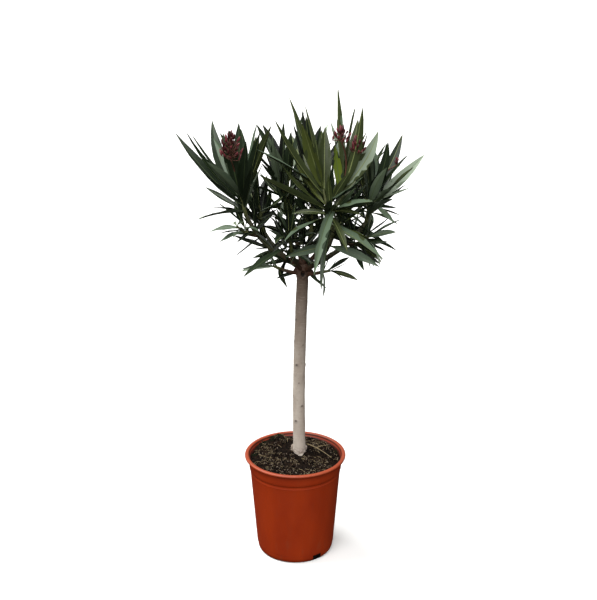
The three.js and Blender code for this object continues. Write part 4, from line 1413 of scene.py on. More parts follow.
# the numbers that the rule spends on a flower head
HEAD_DRAWS = {"foliage_upper_left": 6, "foliage_upper_right": 3}
Placed = tuple[Array, Array, float]  # a leaf's centres, its width direction and its length
LEANS: dict[str, dict[int, Lean | None]] = {  # by mass and by the number of the leaf in it
    "foliage_upper_left": {
        0: Lean(0, -30, 0, GREEN, 0, 0.6), 1: Lean(-20, -20), 3: Lean(8, 50, 0, GREEN, 0.8, 0.8),
        6: Lean(0, 0, wide=0.7), 8: Lean(3, 8), 10: Lean(-12, -12), 11: Lean(6, 7, wide=0.7), 12: Lean(6, 0),
        13: Lean(5, -22), 14: Lean(10, -21), 15: Lean(5, -13), 16: Lean(-21, -18), 19: Lean(0, 0, 0, GREEN),
        20: Lean(3, -40)},
    "foliage_lower_left": {0: Lean(0, 18), 1: Lean(-13, 27), 3: FALLEN, 5: Lean(5, 0), 6: FALLEN, 7: FALLEN},
    "foliage_front": {
        0: Lean(-3, -2, wide=0.6), 1: Lean(-20, -66, 0, GREY, 0.45), 2: Lean(-31, -10, 0, GREY, wide=0.8),
        5: Lean(-13, -52, 0, GREY), 6: Lean(-47, -14, wide=0.62), 9: Lean(-22, -68, 0, GREY),
        11: Lean(12, 14, 0, GREY, wide=0.8), 12: Lean(-37, -57, -12, OLIVE, 0.8), 13: Lean(-12, 41, wide=0.8),
        14: Lean(-28, -18, wide=0.62), 15: Lean(5, -3), 16: Lean(7, 16, wide=0.62),
        17: Lean(-54, -46, -26, GOLDEN, 0.85), 19: Lean(-17, -12, 0, GREY, wide=0.76),
        20: Lean(-41, -31, 0, GREY, wide=0.85), 21: FALLEN, 22: Lean(-14, -10, -25, FRESH, 0.8),
        23: Lean(14, -14, 100, wide=0.8), 25: Lean(-6, 0, 0, GREY, -0.8, 0.8),
        26: Lean(-10, -49, 0, PALE, 0.8), 27: Lean(-43, -19, 0, GREY, -0.9, 0.8)},
    "foliage_upper_right": {
        1: FALLEN, 2: Lean(3, 10), 4: FALLEN, 5: Lean(-42, 27), 8: Lean(5, 7, 0, PALE, 0.6), 10: Lean(-12, 3),
        11: Lean(11, -20), 13: Lean(-5, -3, 0, GREEN, 0.6, 0.9), 15: Lean(-38, -28), 16: Lean(6, -37),
        18: FALLEN, 22: Lean(8, -21, 0, GREEN)},
    "foliage_lower_right": {
        0: Lean(-13, -14), 1: Lean(17, 10), 4: Lean(-22, 25), 6: Lean(-10, 2), 7: Lean(-15, 34),
        9: Lean(-21, 68)},
    "foliage_middle": {21: Lean(15, 3), 25: Lean(0, 0, 0, GREEN), 26: Lean(0, 0, 0, DEEP)},
    "foliage_back_right": {13: Lean(0, -15)},
    "foliage_back_left": {3: Lean(15, 15)},
    "foliage_front_left": {2: Lean(0, 28), 4: Lean(-44, -12, 0, GREEN)},
    "foliage_low_left": {
        1: Lean(48, 8, 0, GREEN, 0.8), 2: FALLEN, 3: Lean(-9, -11), 4: FALLEN, 6: Lean(7, 13), 7: FALLEN},
    "foliage_low_right": {2: FALLEN, 4: FALLEN, 6: Lean(-4, 25), 7: Lean(-1, 8)},
}


@dataclass
class Crown:
    """All twigs, leaves and buds, grown on from the boughs by one seeded rule."""

    limbs: Limbs
    width_ratio: float = 0.078
    widest: float = 11.6
    keel: float = 0.017
    sunk: float = 1.4
    swell: tuple[float, ...] = (0.0, 1.0, 0.8, 0.0)
    bend: tuple[float, ...] = (0.3, 0.5, 0.5, 0.5)
    per_whorl: int = 3
    room: float = 1.8  # clearance kept over another mass and over a limb
    turns: tuple[float, ...] = (0, -9, 9, -18, 18, -30, 30)
    shifts: tuple[float, ...] = (0, 18, -18, 36, -36)
    shorten: float = 0.08
    samples: int = 7
    least: float = 8.0
    tip: float = 0.97  # the share of a shoot that carries its last whorl
    apart: float = 8.0  # least distance between the midribs of finer growth and of any other leaf
    spine_shares: tuple[float, ...] = (0.28, 0.42, 0.56, 0.7, 0.85, 1.0)
    fine_floor: float = 566.0  # no finer growth hangs lower than this
    fine_turn: float = 137.5  # from one fine twig to the next up a shoot
    tuft: int = 4  # small leaves at a shoot's tip
    sprig_places: tuple[float, ...] = (0.36, 0.54, 0.72, 0.9)  # where a bough's leafy side twigs stand
    sprig_turn: float = 70.0
    lone_open: float = 0.6  # how far lone leaves are turned to the front

    def __post_init__(self) -> None:
        """Grow the shoots and lay out what a leaf has to keep clear of."""
        self.paths = self.limbs.paths()
        self.lines = {name: bough.line(self.paths, 24) for name, bough in BOUGHS.items()}
        self.mass_on = {mass.bough: mass for mass in MASSES.values()}
        self.shoots = {name: self.grow_shoots(mass) for name, mass in MASSES.items()}
        groups = [np.concatenate([shoot.path for shoot in shoots]) for shoots in self.shoots.values()]
        self.spots = np.concatenate(groups)
        self.starts = np.cumsum([0] + [len(group) for group in groups[:-1]])
        self.froms = np.concatenate([path[:-1] for path in self.paths.values()])
        self.tos = np.concatenate([path[1:] for path in self.paths.values()])
        stem, top = self.limbs.stem, self.paths["trunk"][1:, 2]
        trunk = stem.radius(top - stem.foot) * np.where(stem.height - top + stem.foot < GAP, 0.62, 1) + 1
        boughs = [np.full(len(self.paths[name]) - 1, bough.start) for name, bough in BOUGHS.items()]
        self.thick = np.concatenate([trunk, *boughs])
        self.fine_twigs: list[Array] = []
        self.extra: list[Leaf] = []
        self.taken = np.zeros((0, 3))
        boxes = [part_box(name) for name in MASSES]
        self.low = np.maximum(np.min([low for low, _ in boxes], axis=0) / MM, (-1e3, -1e3, self.fine_floor))
        self.high = np.max([high for _, high in boxes], axis=0) / MM

    def grow_shoots(self, mass: Mass) -> list[Shoot]:
        """A mass's stem, from its bough's tip, and its side shoots."""
        bough = self.paths[mass.bough]
        tip = bough[-1] + direction_at(bough, len(bough) - 1) * GAP
        stem = limb_path(tip, *mass.stem, 0.0, 4)
        fine = limb_path(tip, *mass.stem, 0.0, 24)
        shoots = [Shoot(stem, fine, BOUGHS[mass.bough].end, 1.9, mass.whorls, 0.16, mass.heads)]
        for along, azimuth, reach, rise, whorls in mass.sides:
            start = point_along(stem, along)
            lines = [limb_path(start, azimuth, reach, rise, 0.15, steps) for steps in (4, 18)]
            shoots.append(Shoot(lines[0], lines[1], 2.4, 1.9, whorls, 0.5, mass.side_heads))
        return shoots

    def fits(self, points: Array, own: int | None) -> bool:
        """Whether points keep to their own mass's space and clear of every limb.

        Args:
            points: The points, in millimetres.
            own: The number of their mass, or none for finer growth, which keeps to the head's box.

        Returns:
            Whether all of them do.
        """
        if own is None:
            if (points < self.low).any() or (points > self.high).any():
                return False
        else:
            nearest = np.minimum.reduceat(norm(points[:, None] - self.spots[None]), self.starts, axis=1)
            mine = nearest[:, own].copy()
            nearest[:, own] = np.inf
            if (nearest.min(1) <= mine + self.room).any():
                return False
        run = self.tos - self.froms
        share = ((points[:, None] - self.froms) * run).sum(-1) / (run * run).sum(-1)
        closest = self.froms + run * np.clip(share, 0, 1)[..., None]
        return bool((norm(points[:, None] - closest) > self.thick + self.room).all())

    def leaf_rings(self, root: Array, axis: Array, wish: Wish) -> tuple[Array, Array, Array]:
        """A leaf's centres, its width direction, and its outline's points at each share."""
        side, other = frame_for(axis, EAST)
        out = side * math.cos(wish.angle) + other * math.sin(wish.angle)
        lean = math.radians(wish.spread)
        heading = axis * math.cos(lean) + out * math.sin(lean)
        across = np.cross(out, axis)
        turned = across * math.cos(wish.twist) + np.cross(heading, across) * math.sin(wish.twist)
        across = unit(turned + heading * float(heading @ across) * (1 - math.cos(wish.twist)))
        spot, centres, rings = root - out * self.sunk, [], []
        half = min(self.width_ratio * wish.length, self.widest)
        for k, share in enumerate(KNOTS):
            if k > 0:
                spot = spot + heading * (share - KNOTS[k - 1]) * wish.length
            down = unit(np.cross(heading, across))
            wide, deep = self.swell[k] * half, (self.keel * wish.length if self.swell[k] else 0.0)
            centres.append(spot)
            rings.append([spot + across * wide, spot + down * deep, spot - across * wide])
            heading = unit(heading - UP * math.sin(math.radians(wish.droop)) * self.bend[k])
        return np.array(centres), across, np.array(rings)

    def place_leaf(self, root: Array, axis: Array, wish: Wish, own: int | None) -> Placed | None:
        """Turn a leaf up, down and round its twig until it has room.

        Args:
            root: Where on the twig it grows.
            axis: The twig's direction there.
            wish: How it would stand.
            own: The number of its mass, or none for finer growth, which keeps clear of every leaf.

        Returns:
            Its centres, its width direction and its length, or None.
        """
        steps = np.arange(1, self.samples + 1) / self.samples
        for shift in self.shifts:
            for k, turn in enumerate(self.turns):
                tried = Wish(
                    wish.angle + math.radians(shift), max(wish.spread + turn, self.least), wish.droop + turn,
                    wish.length * (1 - self.shorten * k), wish.twist)
                centres, across, rings = self.leaf_rings(root, axis, tried)
                points = [rings[k2 - 1] + (rings[k2] - rings[k2 - 1]) * step
                          for k2 in range(1, len(rings)) for step in (steps[2:] if k2 == 1 else steps)]
                if self.fits(np.concatenate(points), own) and (own is not None or self.is_clear(centres)):
                    self.taken = np.concatenate([self.taken, self.spine(centres)])
                    return centres, across, tried.length
        return None

    def spine(self, centres: Array) -> Array:
        """Points along a leaf's midrib, clear of its foot."""
        return np.stack([np.interp(self.spine_shares, KNOTS, centres[:, k]) for k in range(3)], -1)

    def is_clear(self, centres: Array) -> bool:
        """Whether a leaf's midrib stands clear of every leaf so far."""
        return bool(norm(self.spine(centres)[:, None] - self.taken[None]).min() > self.apart)

    def grow_leaves(self, name: str, shoot: Shoot, draw: Draw, tones: Draw) -> list[Leaf]:
        """The leaves of one shoot, in whorls that close up and turn upright towards its tip."""
        mass, own, leaves = MASSES[name], list(MASSES).index(name), []
        for whorl in range(shoot.whorls):
            climb = whorl / (shoot.whorls - 1) if shoot.whorls > 1 else 1.0
            share = mix(shoot.first, self.tip, climb)
            root = point_along(shoot.path, share)
            axis = direction_at(shoot.path, int(math.floor(share * (len(shoot.path) - 1) + 0.5)))
            tint = mass.tints[int(tones.next() * len(mass.tints))]
            for i in range(self.per_whorl):
                turn = mass.turn + (whorl / 2 + i) * 120
                wish = Wish(
                    math.radians(turn + draw.swing(15)),
                    mix(*mass.spread, climb) + draw.swing(7),
                    mix(*mass.droop, climb) + draw.swing(9),
                    mass.leaf * (1 - 0.16 * abs(climb - 0.45)) * (1 + draw.swing(0.12)),
                    draw.swing(0.35))
                placed = self.place_leaf(root, axis, wish, own)
                tone = tones.next()
                if placed:
                    other = mass.tints[int(tone * 7919) % len(mass.tints)]
                    leaves.append(self.leaf(placed, other if tone < 0.3 else tint))
        return leaves

    def leaf(self, placed: Placed, tint: Tint) -> Leaf:
        """A placed leaf with its tints."""
        centres, across, length = placed
        half = min(self.width_ratio * length, self.widest)
        return Leaf(centres, across, half, length, tint, UNDER_OF.get(tint, Under.GREEN))

    def grow_sprig(self, mass: Mass, twig: Array, azimuth: float, leaf: Triple, draw: Draw,
                   first: float = 0.5) -> None:
        """Grow a small twig with two whorls of leaves, and keep it if it has room for two leaves.

        Args:
            mass: The mass whose tints it takes.
            twig: Its centre line.
            azimuth: The heading in degrees that its whorls are turned from.
            leaf: The leaves' spread, droop and length at its foot; they close up to its tip.
            draw: The stream of random numbers.
            first: The share of its length that carries the first whorl.
        """
        if not self.fits(twig[2:], None):
            return
        spread, droop, length = leaf
        grown = []
        for k, place in enumerate((first, self.tip)):
            root, axis = point_along(twig, place), direction_at(twig, int(place * (len(twig) - 1)))
            # fine growth gets the near-black painted-shade tints more often than its mass's own tints
            tint = (*DARK, *DARK, *mass.tints)[int(draw.next() * (2 * len(DARK) + len(mass.tints)))]
            for i in range(self.per_whorl):
                wish = Wish(
                    math.radians(azimuth) + math.radians((k / 2 + i) * 120 + draw.swing(24)),
                    mix(spread, spread * 0.5, k) + draw.swing(9), mix(droop, droop - 14, k) + draw.swing(8),
                    length * (1 + draw.swing(0.16)), draw.swing(0.5))
                placed = self.place_leaf(root, axis, wish, None)
                if placed:
                    grown.append(self.leaf(placed, tint))
        if len(grown) > 1:
            self.fine_twigs.append(twig)
            self.extra += grown

    def grow_fine(self, name: str, shoot: Shoot, draw: Draw) -> None:
        """Finer growth on one shoot: small leafy twigs between the whorls, and a tuft at the tip."""
        mass, count = MASSES[name], max(2, shoot.whorls // 2)
        for k in range(count):
            start = point_along(shoot.path, mix(0.02, 0.66, (k + 0.5) / count))
            azimuth = mass.turn + k * self.fine_turn + draw.swing(20)
            twig = limb_path(start, azimuth, 15 + draw.swing(5), 13 + draw.swing(6), 0.1, 4)
            self.grow_sprig(mass, twig, azimuth, (70, 12, mass.leaf * (0.46 + draw.swing(0.08))), draw)
        axis = direction_at(shoot.path, len(shoot.path) - 1)
        for i in range(0 if shoot.heads else self.tuft):
            wish = Wish(
                math.radians(mass.turn + 60 + i * 97 + draw.swing(20)), 12 + i * 3 + draw.swing(3),
                draw.swing(5), mass.leaf * (0.34 + 0.07 * i), draw.swing(0.5))
            placed = self.place_leaf(shoot.path[-1], axis, wish, None)
            if placed:
                self.extra.append(self.leaf(placed, FRESH if draw.next() < 0.2 else mass.tints[0]))

    def grow_bough_sprigs(self, name: str, draw: Draw) -> None:
        """Leafy side twigs on one bough, turned to either side by turns."""
        for k, along in enumerate(self.sprig_places):
            side = self.sprig_turn if k % 2 else -self.sprig_turn
            azimuth = BOUGHS[name].azimuth + side + draw.swing(30)
            start = point_along(self.lines[name], along)
            twig = limb_path(start, azimuth, 17 + draw.swing(6), 12 + draw.swing(6), 0.15, 6)
            leaf = (66, 10, mix(52, 74, along) * (1 + draw.swing(0.2)))
            self.grow_sprig(self.mass_on[name], twig, azimuth, leaf, draw)

    def grow_low_growth(self, draw: Draw) -> None:
        """The lone leaves and leafy twigs low in the head, which hang about the fork."""
        for lone in LONE_LEAVES:
            wish = Wish(math.radians(lone.azimuth), lone.spread, lone.droop, lone.length, 0.0)
            centres, across, _ = self.leaf_rings(point_along(self.lines[lone.bough], lone.along), UP, wish)
            self.taken = np.concatenate([self.taken, self.spine(centres)])
            across = self.opened(centres, across, self.lone_open)
            self.extra.append(self.leaf((centres, across, lone.length), lone.tint))
        for sprig in LOW_SPRIGS:
            start = point_along(self.lines[sprig.bough], sprig.along)
            twig = limb_path(start, sprig.azimuth, sprig.reach, sprig.rise, 0.15, 6)
            leaf = (sprig.spread, sprig.droop, sprig.leaf)
            self.grow_sprig(self.mass_on[sprig.bough], twig, sprig.azimuth, leaf, draw, 0.6)

    def opened(self, centres: Array, across: Array, share: float) -> Array:
        """A leaf's width direction, with its upper side or its edge turned a share toward the front."""
        aim = np.cross(NORTH, centres[3] - centres[0]) if share > 0 else NORTH * np.sign(across @ NORTH)
        return unit(mix(across, unit(aim), abs(share)))

    def lean(self, leaves: list[Leaf], leans: dict[int, Lean | None]) -> list[Leaf]:
        """Lean single leaves from where the rule put them, and drop the fallen ones."""
        for number, lean in leans.items():
            if lean:
                leaf = leaves[number]
                leaf.centres = leaf.centres + np.outer(KNOTS, (lean.x, lean.y, lean.z))
                leaf.tint = lean.tint or leaf.tint
                leaf.across = self.opened(leaf.centres, leaf.across, lean.open)
                leaf.half *= lean.wide
        return [leaf for number, leaf in enumerate(leaves) if leans.get(number, True)]

    def build(self) -> None:
        """Grow everything and make the pieces, which stand for the masses' solids."""
        leaves: list[Leaf] = []
        heads: list[tuple[Array, Array, Head]] = []
        for k, (name, shoots) in enumerate(self.shoots.items()):
            draw, tones = Draw(SEED + 101 * (k + 1)), Draw(SEED + 907 * (k + 3))
            grown: list[Leaf] = []
            for j, shoot in enumerate(shoots):
                grown += self.grow_leaves(name, shoot, draw, tones)
                heads += [(shoot.path[-1], direction_at(shoot.path, 4), head) for head in shoot.heads]
                for _ in range(0 if j else HEAD_DRAWS.get(name, 0)):
                    draw.next()
            leaves += self.lean(grown, LEANS.get(name, {}))
        self.taken = np.concatenate([self.spine(leaf.centres) for leaf in leaves])
        self.grow_low_growth(Draw(SEED + 17))
        for k, (name, shoots) in enumerate(self.shoots.items()):
            for j, shoot in enumerate(() if name in BARE else shoots):
                self.grow_fine(name, shoot, Draw(SEED + 1709 * (k + 5) + 31 * j))
        for k, name in enumerate(BOUGHS):
            self.grow_bough_sprigs(name, Draw(SEED + 2203 * (k + 1)))
        LOG.info("leaves: %d and %d finer, fine twigs: %d", len(leaves), len(self.extra), len(self.fine_twigs))
        Blades().build(leaves + self.extra)
        self.twigs()
        Buds().build(heads)

    def twigs(self) -> None:
        """The stems, side shoots and fine twigs as one piece."""
        skin = Skin()
        for shoot in (shoot for shoots in self.shoots.values() for shoot in shoots):
            share = np.linspace(0, 1, len(shoot.fine))
            nodes = [mix(shoot.first, self.tip, w / max(shoot.whorls - 1, 1)) for w in range(shoot.whorls)]
            swell = sum(np.exp(-((share - node) / 0.016) ** 2) for node in nodes) * 0.5
            line = shoot.fine.copy()
            line[0] -= direction_at(line, 0) * 2.0
            skin.tube(line, mix(shoot.start, shoot.end, share) + swell, 10)
        for path in self.fine_twigs:
            skin.tube(path, np.linspace(1.6, 1.0, len(path)), 6)
        seat(skin.build("green_twigs", [GREEN_WOOD.material()]))


def square_to(across: Array, heading: Array) -> Array:
    """The leaves' width directions made square to each of their headings."""
    return unit(across[:, None] - heading * (across[:, None] * heading).sum(-1, keepdims=True))


@dataclass
class Blades:
    """All the leaves as one mesh: lance-shaped, folded along a raised midrib, thin and closed."""

    shares: tuple[float, ...] = (0.035, 0.1, 0.19, 0.31, 0.45, 0.59, 0.73, 0.86, 0.95)
    widths: tuple[float, ...] = (0.12, 0.27, 0.58, 0.86, 1.0, 0.98, 0.79, 0.47, 0.19)
    depths: tuple[float, ...] = (0.2, 0.6, 0.95, 1.0, 1.0, 0.95, 0.8, 0.5, 0.25)
    most: int = 2000  # leaves that random bends are drawn for
    broad: float = 0.96  # how broad the widest part is beside the solid's flat-sided outline
    rib_start: float = 0.75  # half the midrib's width, in millimetres
    rib_end: float = 0.2
    keel: float = 0.026
    petiole: float = 1.0  # how much thicker the stalk is than the blade
    petiole_end: float = 0.16
    thickness: float = 0.4
    sickle: float = 0.03
    arch: tuple[float, float] = (0.03, 0.022)  # how far the tip bends back, and how much that varies
    bow: float = 0.022  # how much the middle bends to a side or up
    sag: tuple[float, float] = (0.0, -0.014)  # how far it bends on average
    roll: float = 0.2
    twist: float = 0.35
    wave: float = 1.2
    pale: float = 0.3  # the share of midribs that are pale
    rounds: int = 16
    clear: float = 2.4  # how far the relaxed blades stand apart, in millimetres
    checked: tuple[float, ...] = (0.2, 0.35, 0.5, 0.65, 0.8, 0.95)  # where they are looked at
    near: float = 18.0  # how close two leaves come before they are looked at
    through: float = 26.0  # how far apart they may be and still count as passing through
    strongest: float = 5.0  # the longest push in one round
    swing: float = 0.08  # how far a tip may move, by the leaf's length

    def curves(self, centres: Array, shares: Array) -> tuple[Array, Array]:
        """The smooth centre lines through the leaves' four points.

        Args:
            centres: The leaves' centres as (leaf, 4, 3).
            shares: The shares of the length to evaluate them at.

        Returns:
            Points and directions as (leaf, share, 3).
        """
        terms = np.linalg.inv(np.vander(KNOTS, 4, increasing=True)) @ centres.transpose(1, 0, 2).reshape(4, -1)
        powers = np.vander(shares, 4, increasing=True)
        slopes = np.column_stack([np.zeros(len(shares)), np.ones(len(shares)), 2 * shares, 3 * shares ** 2])
        shape = (len(shares), len(centres), 3)
        points, headings = ((rows @ terms).reshape(shape).transpose(1, 0, 2) for rows in (powers, slopes))
        return points, unit(headings)

    def relax(self, centres: Array, across: Array, half: Array) -> Array:
        """Swing leaves that would pass through each other apart, each about its foot.

        Args:
            centres: The leaves' centres as (leaf, 4, 3).
            across: Their width directions as (leaf, 3).
            half: Half their widths.

        Returns:
            The new centres.
        """
        shares = np.array(self.checked)
        mine, theirs = shares[None, :, None, None], shares[None, None, None, :]
        wide = half[:, None] * np.interp(shares, (0.0, *self.shares, 1.0), (0.0, *self.widths, 0.0))
        points, _ = self.curves(centres, shares)
        near = [np.flatnonzero(norm(one[None, :, None] - points[:, None]).min((1, 2)) < self.near)
                for one in points]
        first = np.concatenate([np.full(len(group), i) for i, group in enumerate(near)])
        second = np.concatenate(near)
        first, second = first[first != second], second[first != second]
        length = norm(centres[:, 1:] - centres[:, :-1]).sum(1)
        reach = (length[second] * 0.085)[:, None, None, None]
        room = wide[second][:, None, None] + 1.0
        edges = np.array([-0.9, 0.9])
        moved = np.zeros((len(centres), 3))
        for _ in range(self.rounds):
            points, heading = self.curves(centres + moved[:, None] * KNOTS[:, None], shares)
            side = square_to(across, heading)
            spots = points[:, :, None] + side[:, :, None] * (wide[:, :, None] * edges)[..., None]
            gap = spots[first][:, :, :, None] - points[second][:, None, None]
            sideways, along, above = ((gap * way[second][:, None, None]).sum(-1)
                                      for way in (side, heading, np.cross(side, heading)))
            hit = (np.abs(sideways) < room) & (np.abs(along) < reach) & (np.abs(above) < self.through)
            sign = np.sign((above * hit).sum((1, 2, 3)) + 1e-9)
            need = np.clip(self.clear - above * sign[:, None, None, None], 0, self.strongest) * hit
            toward = np.cross(side, heading)[second][:, None, None] * sign[:, None, None, None, None]
            push, weight = np.zeros((len(centres), 3)), np.full(len(centres), 0.6)
            for way, leaf, arm in ((1, first, mine), (-1, second, theirs)):
                np.add.at(push, leaf, way * (toward * (need * arm)[..., None]).sum((1, 2, 3)) * 0.5)
                np.add.at(weight, leaf, ((need > 0) * arm ** 2).sum((1, 2, 3)))
            moved += push / weight[:, None] * 0.8
            moved *= np.minimum(1.0, length * self.swing / np.maximum(norm(moved), 1e-9))[:, None]
        touching = int((need.max((1, 2, 3)) > self.clear).sum())
        LOG.info("leaves still touching: %d pairs of %d", touching, len(first))
        return centres + moved[:, None] * KNOTS[:, None]

    def bent(self, centres: Array, across: Array, length: Array, rng: np.random.Generator) -> Array:
        """Bend each leaf to a side, back over its underside and in its middle.

        Args:
            centres: The leaves' centres as (leaf, 4, 3).
            across: Their width directions as (leaf, 3).
            length: Their lengths as (leaf, 1).
            rng: The stream that the bends to a side and back are drawn from.

        Returns:
            The new centres.
        """
        number = len(centres)
        sickle = rng.normal(0, self.sickle, (self.most, 1))[:number]
        arch = rng.normal(*self.arch, (self.most, 1))[:number]
        centres = centres + across[:, None] * (sickle * length * KNOTS ** 2)[..., None]
        back = unit(np.cross(centres[:, 2] - centres[:, 0], across))
        centres = centres + back[:, None] * (arch * length * KNOTS ** 2.2)[..., None]
        bow = np.random.default_rng(SEED + 6).normal(self.sag, self.bow, (self.most, 2))[:number, :, None]
        bow = bow * (4 * length * KNOTS * (1 - KNOTS))[:, None]
        return centres + across[:, None] * bow[:, 0, :, None] + back[:, None] * bow[:, 1, :, None]

    def build(self, leaves: list[Leaf]) -> None:
        """Make the leaves' piece, which stands for every mass of foliage.

        Args:
            leaves: The placed leaves.
        """
        rng = np.random.default_rng(SEED + 5)
        number, inner = len(leaves), np.array(self.shares)
        length = np.array([leaf.length for leaf in leaves])[:, None]
        half = np.array([leaf.half for leaf in leaves]) * self.broad
        across = np.array([leaf.across for leaf in leaves])
        centres = self.bent(np.array([leaf.centres for leaf in leaves]), across, length, rng)
        centres = self.relax(centres, across, half)
        shares = np.array((0.0, *self.shares, 1.0))
        points, heading = self.curves(centres, shares)
        across = square_to(across, heading)
        roll = rng.normal(0, self.roll, (number, 1)) + rng.normal(0, self.twist, (number, 1)) * shares
        down, cos, sin = np.cross(heading, across), np.cos(roll)[..., None], np.sin(roll)[..., None]
        across, down = across * cos + down * sin, down * cos - across * sin
        half = half[:, None] * np.array(self.widths)
        deep = self.keel * length * np.array(self.depths)
        rib = mix(self.rib_start, self.rib_end, inner) * np.clip(length / 120, 0.55, 1.2)
        rib = np.minimum(rib, half * 0.4)
        phase = rng.uniform(0, 2 * math.pi, (2, number, 1))
        waves = np.sin(phase + inner * rng.uniform(8, 15, (2, number, 1))) * self.wave * (half / 11)
        low = deep + self.thickness + np.clip(1 - inner / self.petiole_end, 0, 1) * self.petiole
        section = [
            (half, waves[0]), (rib * 1.2, low), (-rib * 1.2, low), (-half, waves[1]),
            (-half * 0.55, deep * 0.42), (-rib, deep * 0.85), (rib, deep * 0.85), (half * 0.55, deep * 0.42)]
        rings = np.stack([
            points[:, 1:-1] + across[:, 1:-1] * wide[..., None] + down[:, 1:-1] * sunk[..., None]
            for wide, sunk in section], 2)
        poles = np.stack([points[:, 0], points[:, -1]], 1)
        tops, unders = list(Tint), list(Under)
        top = np.array([tops.index(leaf.tint) for leaf in leaves])[:, None]
        under = np.array([len(tops) + unders.index(leaf.under) for leaf in leaves])[:, None]
        pale = np.array([leaf.under is Under.OLIVE or rng.random() < self.pale for leaf in leaves])[:, None]
        ribs = len(tops) + len(unders) + pale
        slots = np.concatenate([under, ribs, under, top, top, ribs, top, top], 1)
        skin = Skin()
        skin.lofts(rings, poles, slots, np.array([1, 0, 0, 2, 0, 0, 0, 0]))
        finishes = (*LEAF_TOPS.values(), *LEAF_UNDERS.values(), *MIDRIBS)
        seat(skin.build("leaf_blades", [finish.material() for finish in finishes]), list(MASSES))


@dataclass
class Buds:
    """Flower heads in bud: pointed spindles on branching stalks, crowded into a dome."""

    length: float = 13.0
    radius: float = 2.3
    profile: Sizes = ((0.0, 0.3), (0.12, 0.62), (0.34, 0.9), (0.6, 1.0), (0.8, 0.66), (0.93, 0.26))
    golden: float = 2.4  # the turn in radians from one bud to the next
    stalk: float = 0.7
    sides: int = 7
    rosy: float = 0.45  # the share of rose-coloured buds

    def build(self, heads: list[tuple[Array, Array, Head]]) -> None:
        """Make the buds' piece.

        Args:
            heads: The shoot's tip, its direction there and the head for each flower head.
        """
        rng = np.random.default_rng(SEED + 9)
        skin = Skin()
        t = np.linspace(0, 1, 10)[:, None]
        for tip, axis, head in heads:
            middle = tip + np.array(head.offset)
            foot = middle - UP * head.tall * 0.9
            knee = tip + axis * np.linalg.norm(foot - tip) * 0.55
            skin.tube(arc_through(tip - axis * 3, knee, foot, t), np.linspace(1.7, 1.2, 10), 8)
            for k in range(head.buds):
                turn = k * self.golden + rng.uniform(-0.3, 0.3)
                climb = (k + 0.5) / head.buds
                out = EAST * math.cos(turn) + NORTH * math.sin(turn)
                spread = math.sin(math.pi * mix(0.22, 0.97, climb) ** 0.9)
                spot = middle + out * head.wide * spread * rng.uniform(0.45, 1.0)
                spot = spot + UP * head.tall * mix(-0.75, 0.85, climb)
                heading = unit(out * mix(0.75, 0.1, climb) + UP * 0.9 + rng.normal(0, 0.18, 3))
                size = rng.uniform(0.6, 1.0)
                spot = spot - heading * self.length * size * 0.5
                root = foot + UP * head.tall * 1.2 * climb * 0.8
                bend = mix(root, spot, 0.6) - UP * 1.5
                skin.tube(arc_through(root, bend, spot, t[::3]), self.stalk, 6)
                self.bud(skin, spot, heading, size, rng)
        finishes = [BUD_STALK.material(), BUD_DARK.material(), BUD_ROSE.material()]
        seat(skin.build("flower_buds", finishes))

    def bud(self, skin: Skin, foot: Array, heading: Array, size: float, rng: np.random.Generator) -> None:
        """Add one bud at the end of its stalk."""
        side, other = frame_for(heading, UP)
        angles = turns_of(self.sides)
        around = np.outer(np.cos(angles), side) + np.outer(np.sin(angles), other)
        length, radius = self.length * size, self.radius * (0.4 + 0.6 * size)
        rings = np.array([foot + heading * length * share + around * radius * wide
                          for share, wide in self.profile])
        poles = np.array([[foot - heading * 0.3, foot + heading * length]])
        skin.lofts(rings[None], poles, 1 + int(rng.random() < self.rosy))


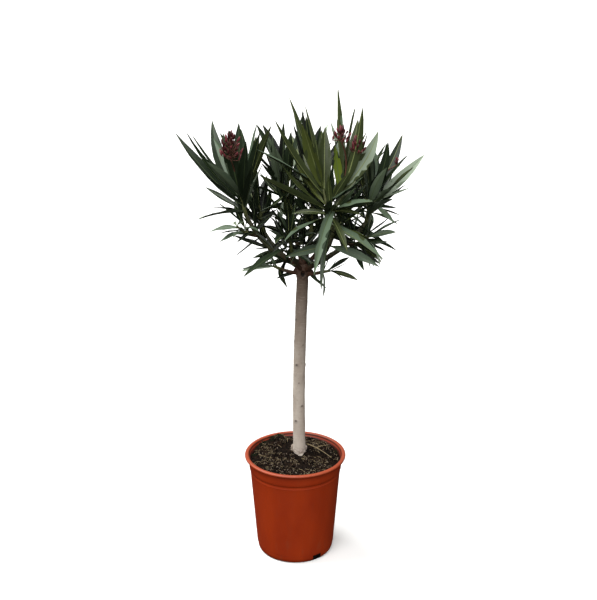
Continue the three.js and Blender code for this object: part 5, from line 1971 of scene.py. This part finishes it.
# ---------------------------------------------------------------- studio
@dataclass
class Studio:
    """A pale floor under a soft dome of light, and a camera at standing height.

    The light comes from above and from the left. The floor takes the light but throws none back
    on the plant, as when a plant stands clear of its backdrop.
    """

    lens: float = 67.14
    camera: Triple = (0.0062, -1.9, 1.164)
    tilt: float = 70.79
    floor_size: float = 60.0
    floor: PlainFinish = PlainFinish("pale_floor", "#F6F6F4", 0.95)
    dome: tuple[tuple[float, str], ...] = (
        (0.0, "#303030"), (0.41, "#3A3A3A"), (0.49, "#D8D8D8"), (0.75, "#FFFFFF"), (1.0, "#FFFFFF"))
    dome_strength: float = 0.38
    backdrop: float = 3.0  # how bright the dome looks behind the plant
    # name, azimuth that it comes from, height, strength and softness
    suns: tuple[tuple[str, float, float, float, float], ...] = (
        ("key", 164.0, 56.0, 3.0, 44.0),
        ("front", 250.0, 44.0, 2.65, 54.0),
        ("fill", 312.0, 40.0, 0.9, 60.0),
    )

    def build(self) -> None:
        """Place the camera, the floor and the lights."""
        scene = bpy.context.scene
        camera = bpy.data.objects.new("camera", bpy.data.cameras.new("camera"))
        camera.data.lens, camera.data.sensor_width = self.lens, 36.0
        camera.location = self.camera
        camera.rotation_euler = (math.radians(self.tilt), 0.0, 0.0)
        scene.collection.objects.link(camera)
        scene.camera = camera
        scene.view_settings.view_transform = "Standard"
        half = self.floor_size / 2
        mesh = bpy.data.meshes.new("floor")
        square = [(-half, -half, 0), (half, -half, 0), (half, half, 0), (-half, half, 0)]
        mesh.from_pydata(square, [], [(0, 1, 2, 3)])
        mesh.materials.append(self.floor.material())
        floor = bpy.data.objects.new("floor", mesh)
        floor.visible_diffuse = floor.visible_glossy = False
        scene.collection.objects.link(floor)
        scene.world = self.sky()
        for name, azimuth, height, strength, softness in self.suns:
            light = bpy.data.lights.new(name, "SUN")
            light.energy, light.angle = strength, math.radians(softness)
            lamp = bpy.data.objects.new(name, light)
            lamp.rotation_euler = (math.radians(90 - height), 0.0, math.radians(azimuth + 90))
            lamp.location = (0, 0, 3)
            scene.collection.objects.link(lamp)

    def sky(self) -> bpy.types.World:
        """A dome that is white overhead and dark below the floor."""
        world = bpy.data.worlds.new("studio")
        world.use_nodes = True
        tree = world.node_tree
        place = add_node(tree, "ShaderNodeTexCoord").outputs["Object"]
        rise = add_node(tree, "ShaderNodeSeparateXYZ", {0: place}).outputs["Z"]
        share = add_node(tree, "ShaderNodeMapRange", {"Value": rise, "From Min": -1.0}).outputs[0]
        shade = add_node(tree, "ShaderNodeValToRGB", {0: share}, stops=self.dome).outputs[0]
        background = tree.nodes["Background"]
        tree.links.new(shade, background.inputs["Color"])
        seen = add_node(tree, "ShaderNodeLightPath").outputs["Is Camera Ray"]
        limits = {"Value": seen, "To Min": self.dome_strength, "To Max": self.backdrop}
        tree.links.new(add_node(tree, "ShaderNodeMapRange", limits).outputs[0], background.inputs["Strength"])
        return world


def main() -> None:
    """Build the plant piece by piece and report each."""
    logging.basicConfig(level=logging.INFO, format="%(name)s: %(message)s")
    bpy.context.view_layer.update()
    Studio().build()
    pot = NurseryPot()
    pot.build()
    PeatBed(pot).build()
    stem = Stem()
    stem.build()
    limbs = Limbs(stem)
    limbs.build()
    Crown(limbs).build()


if __name__ == "__main__":
    main()
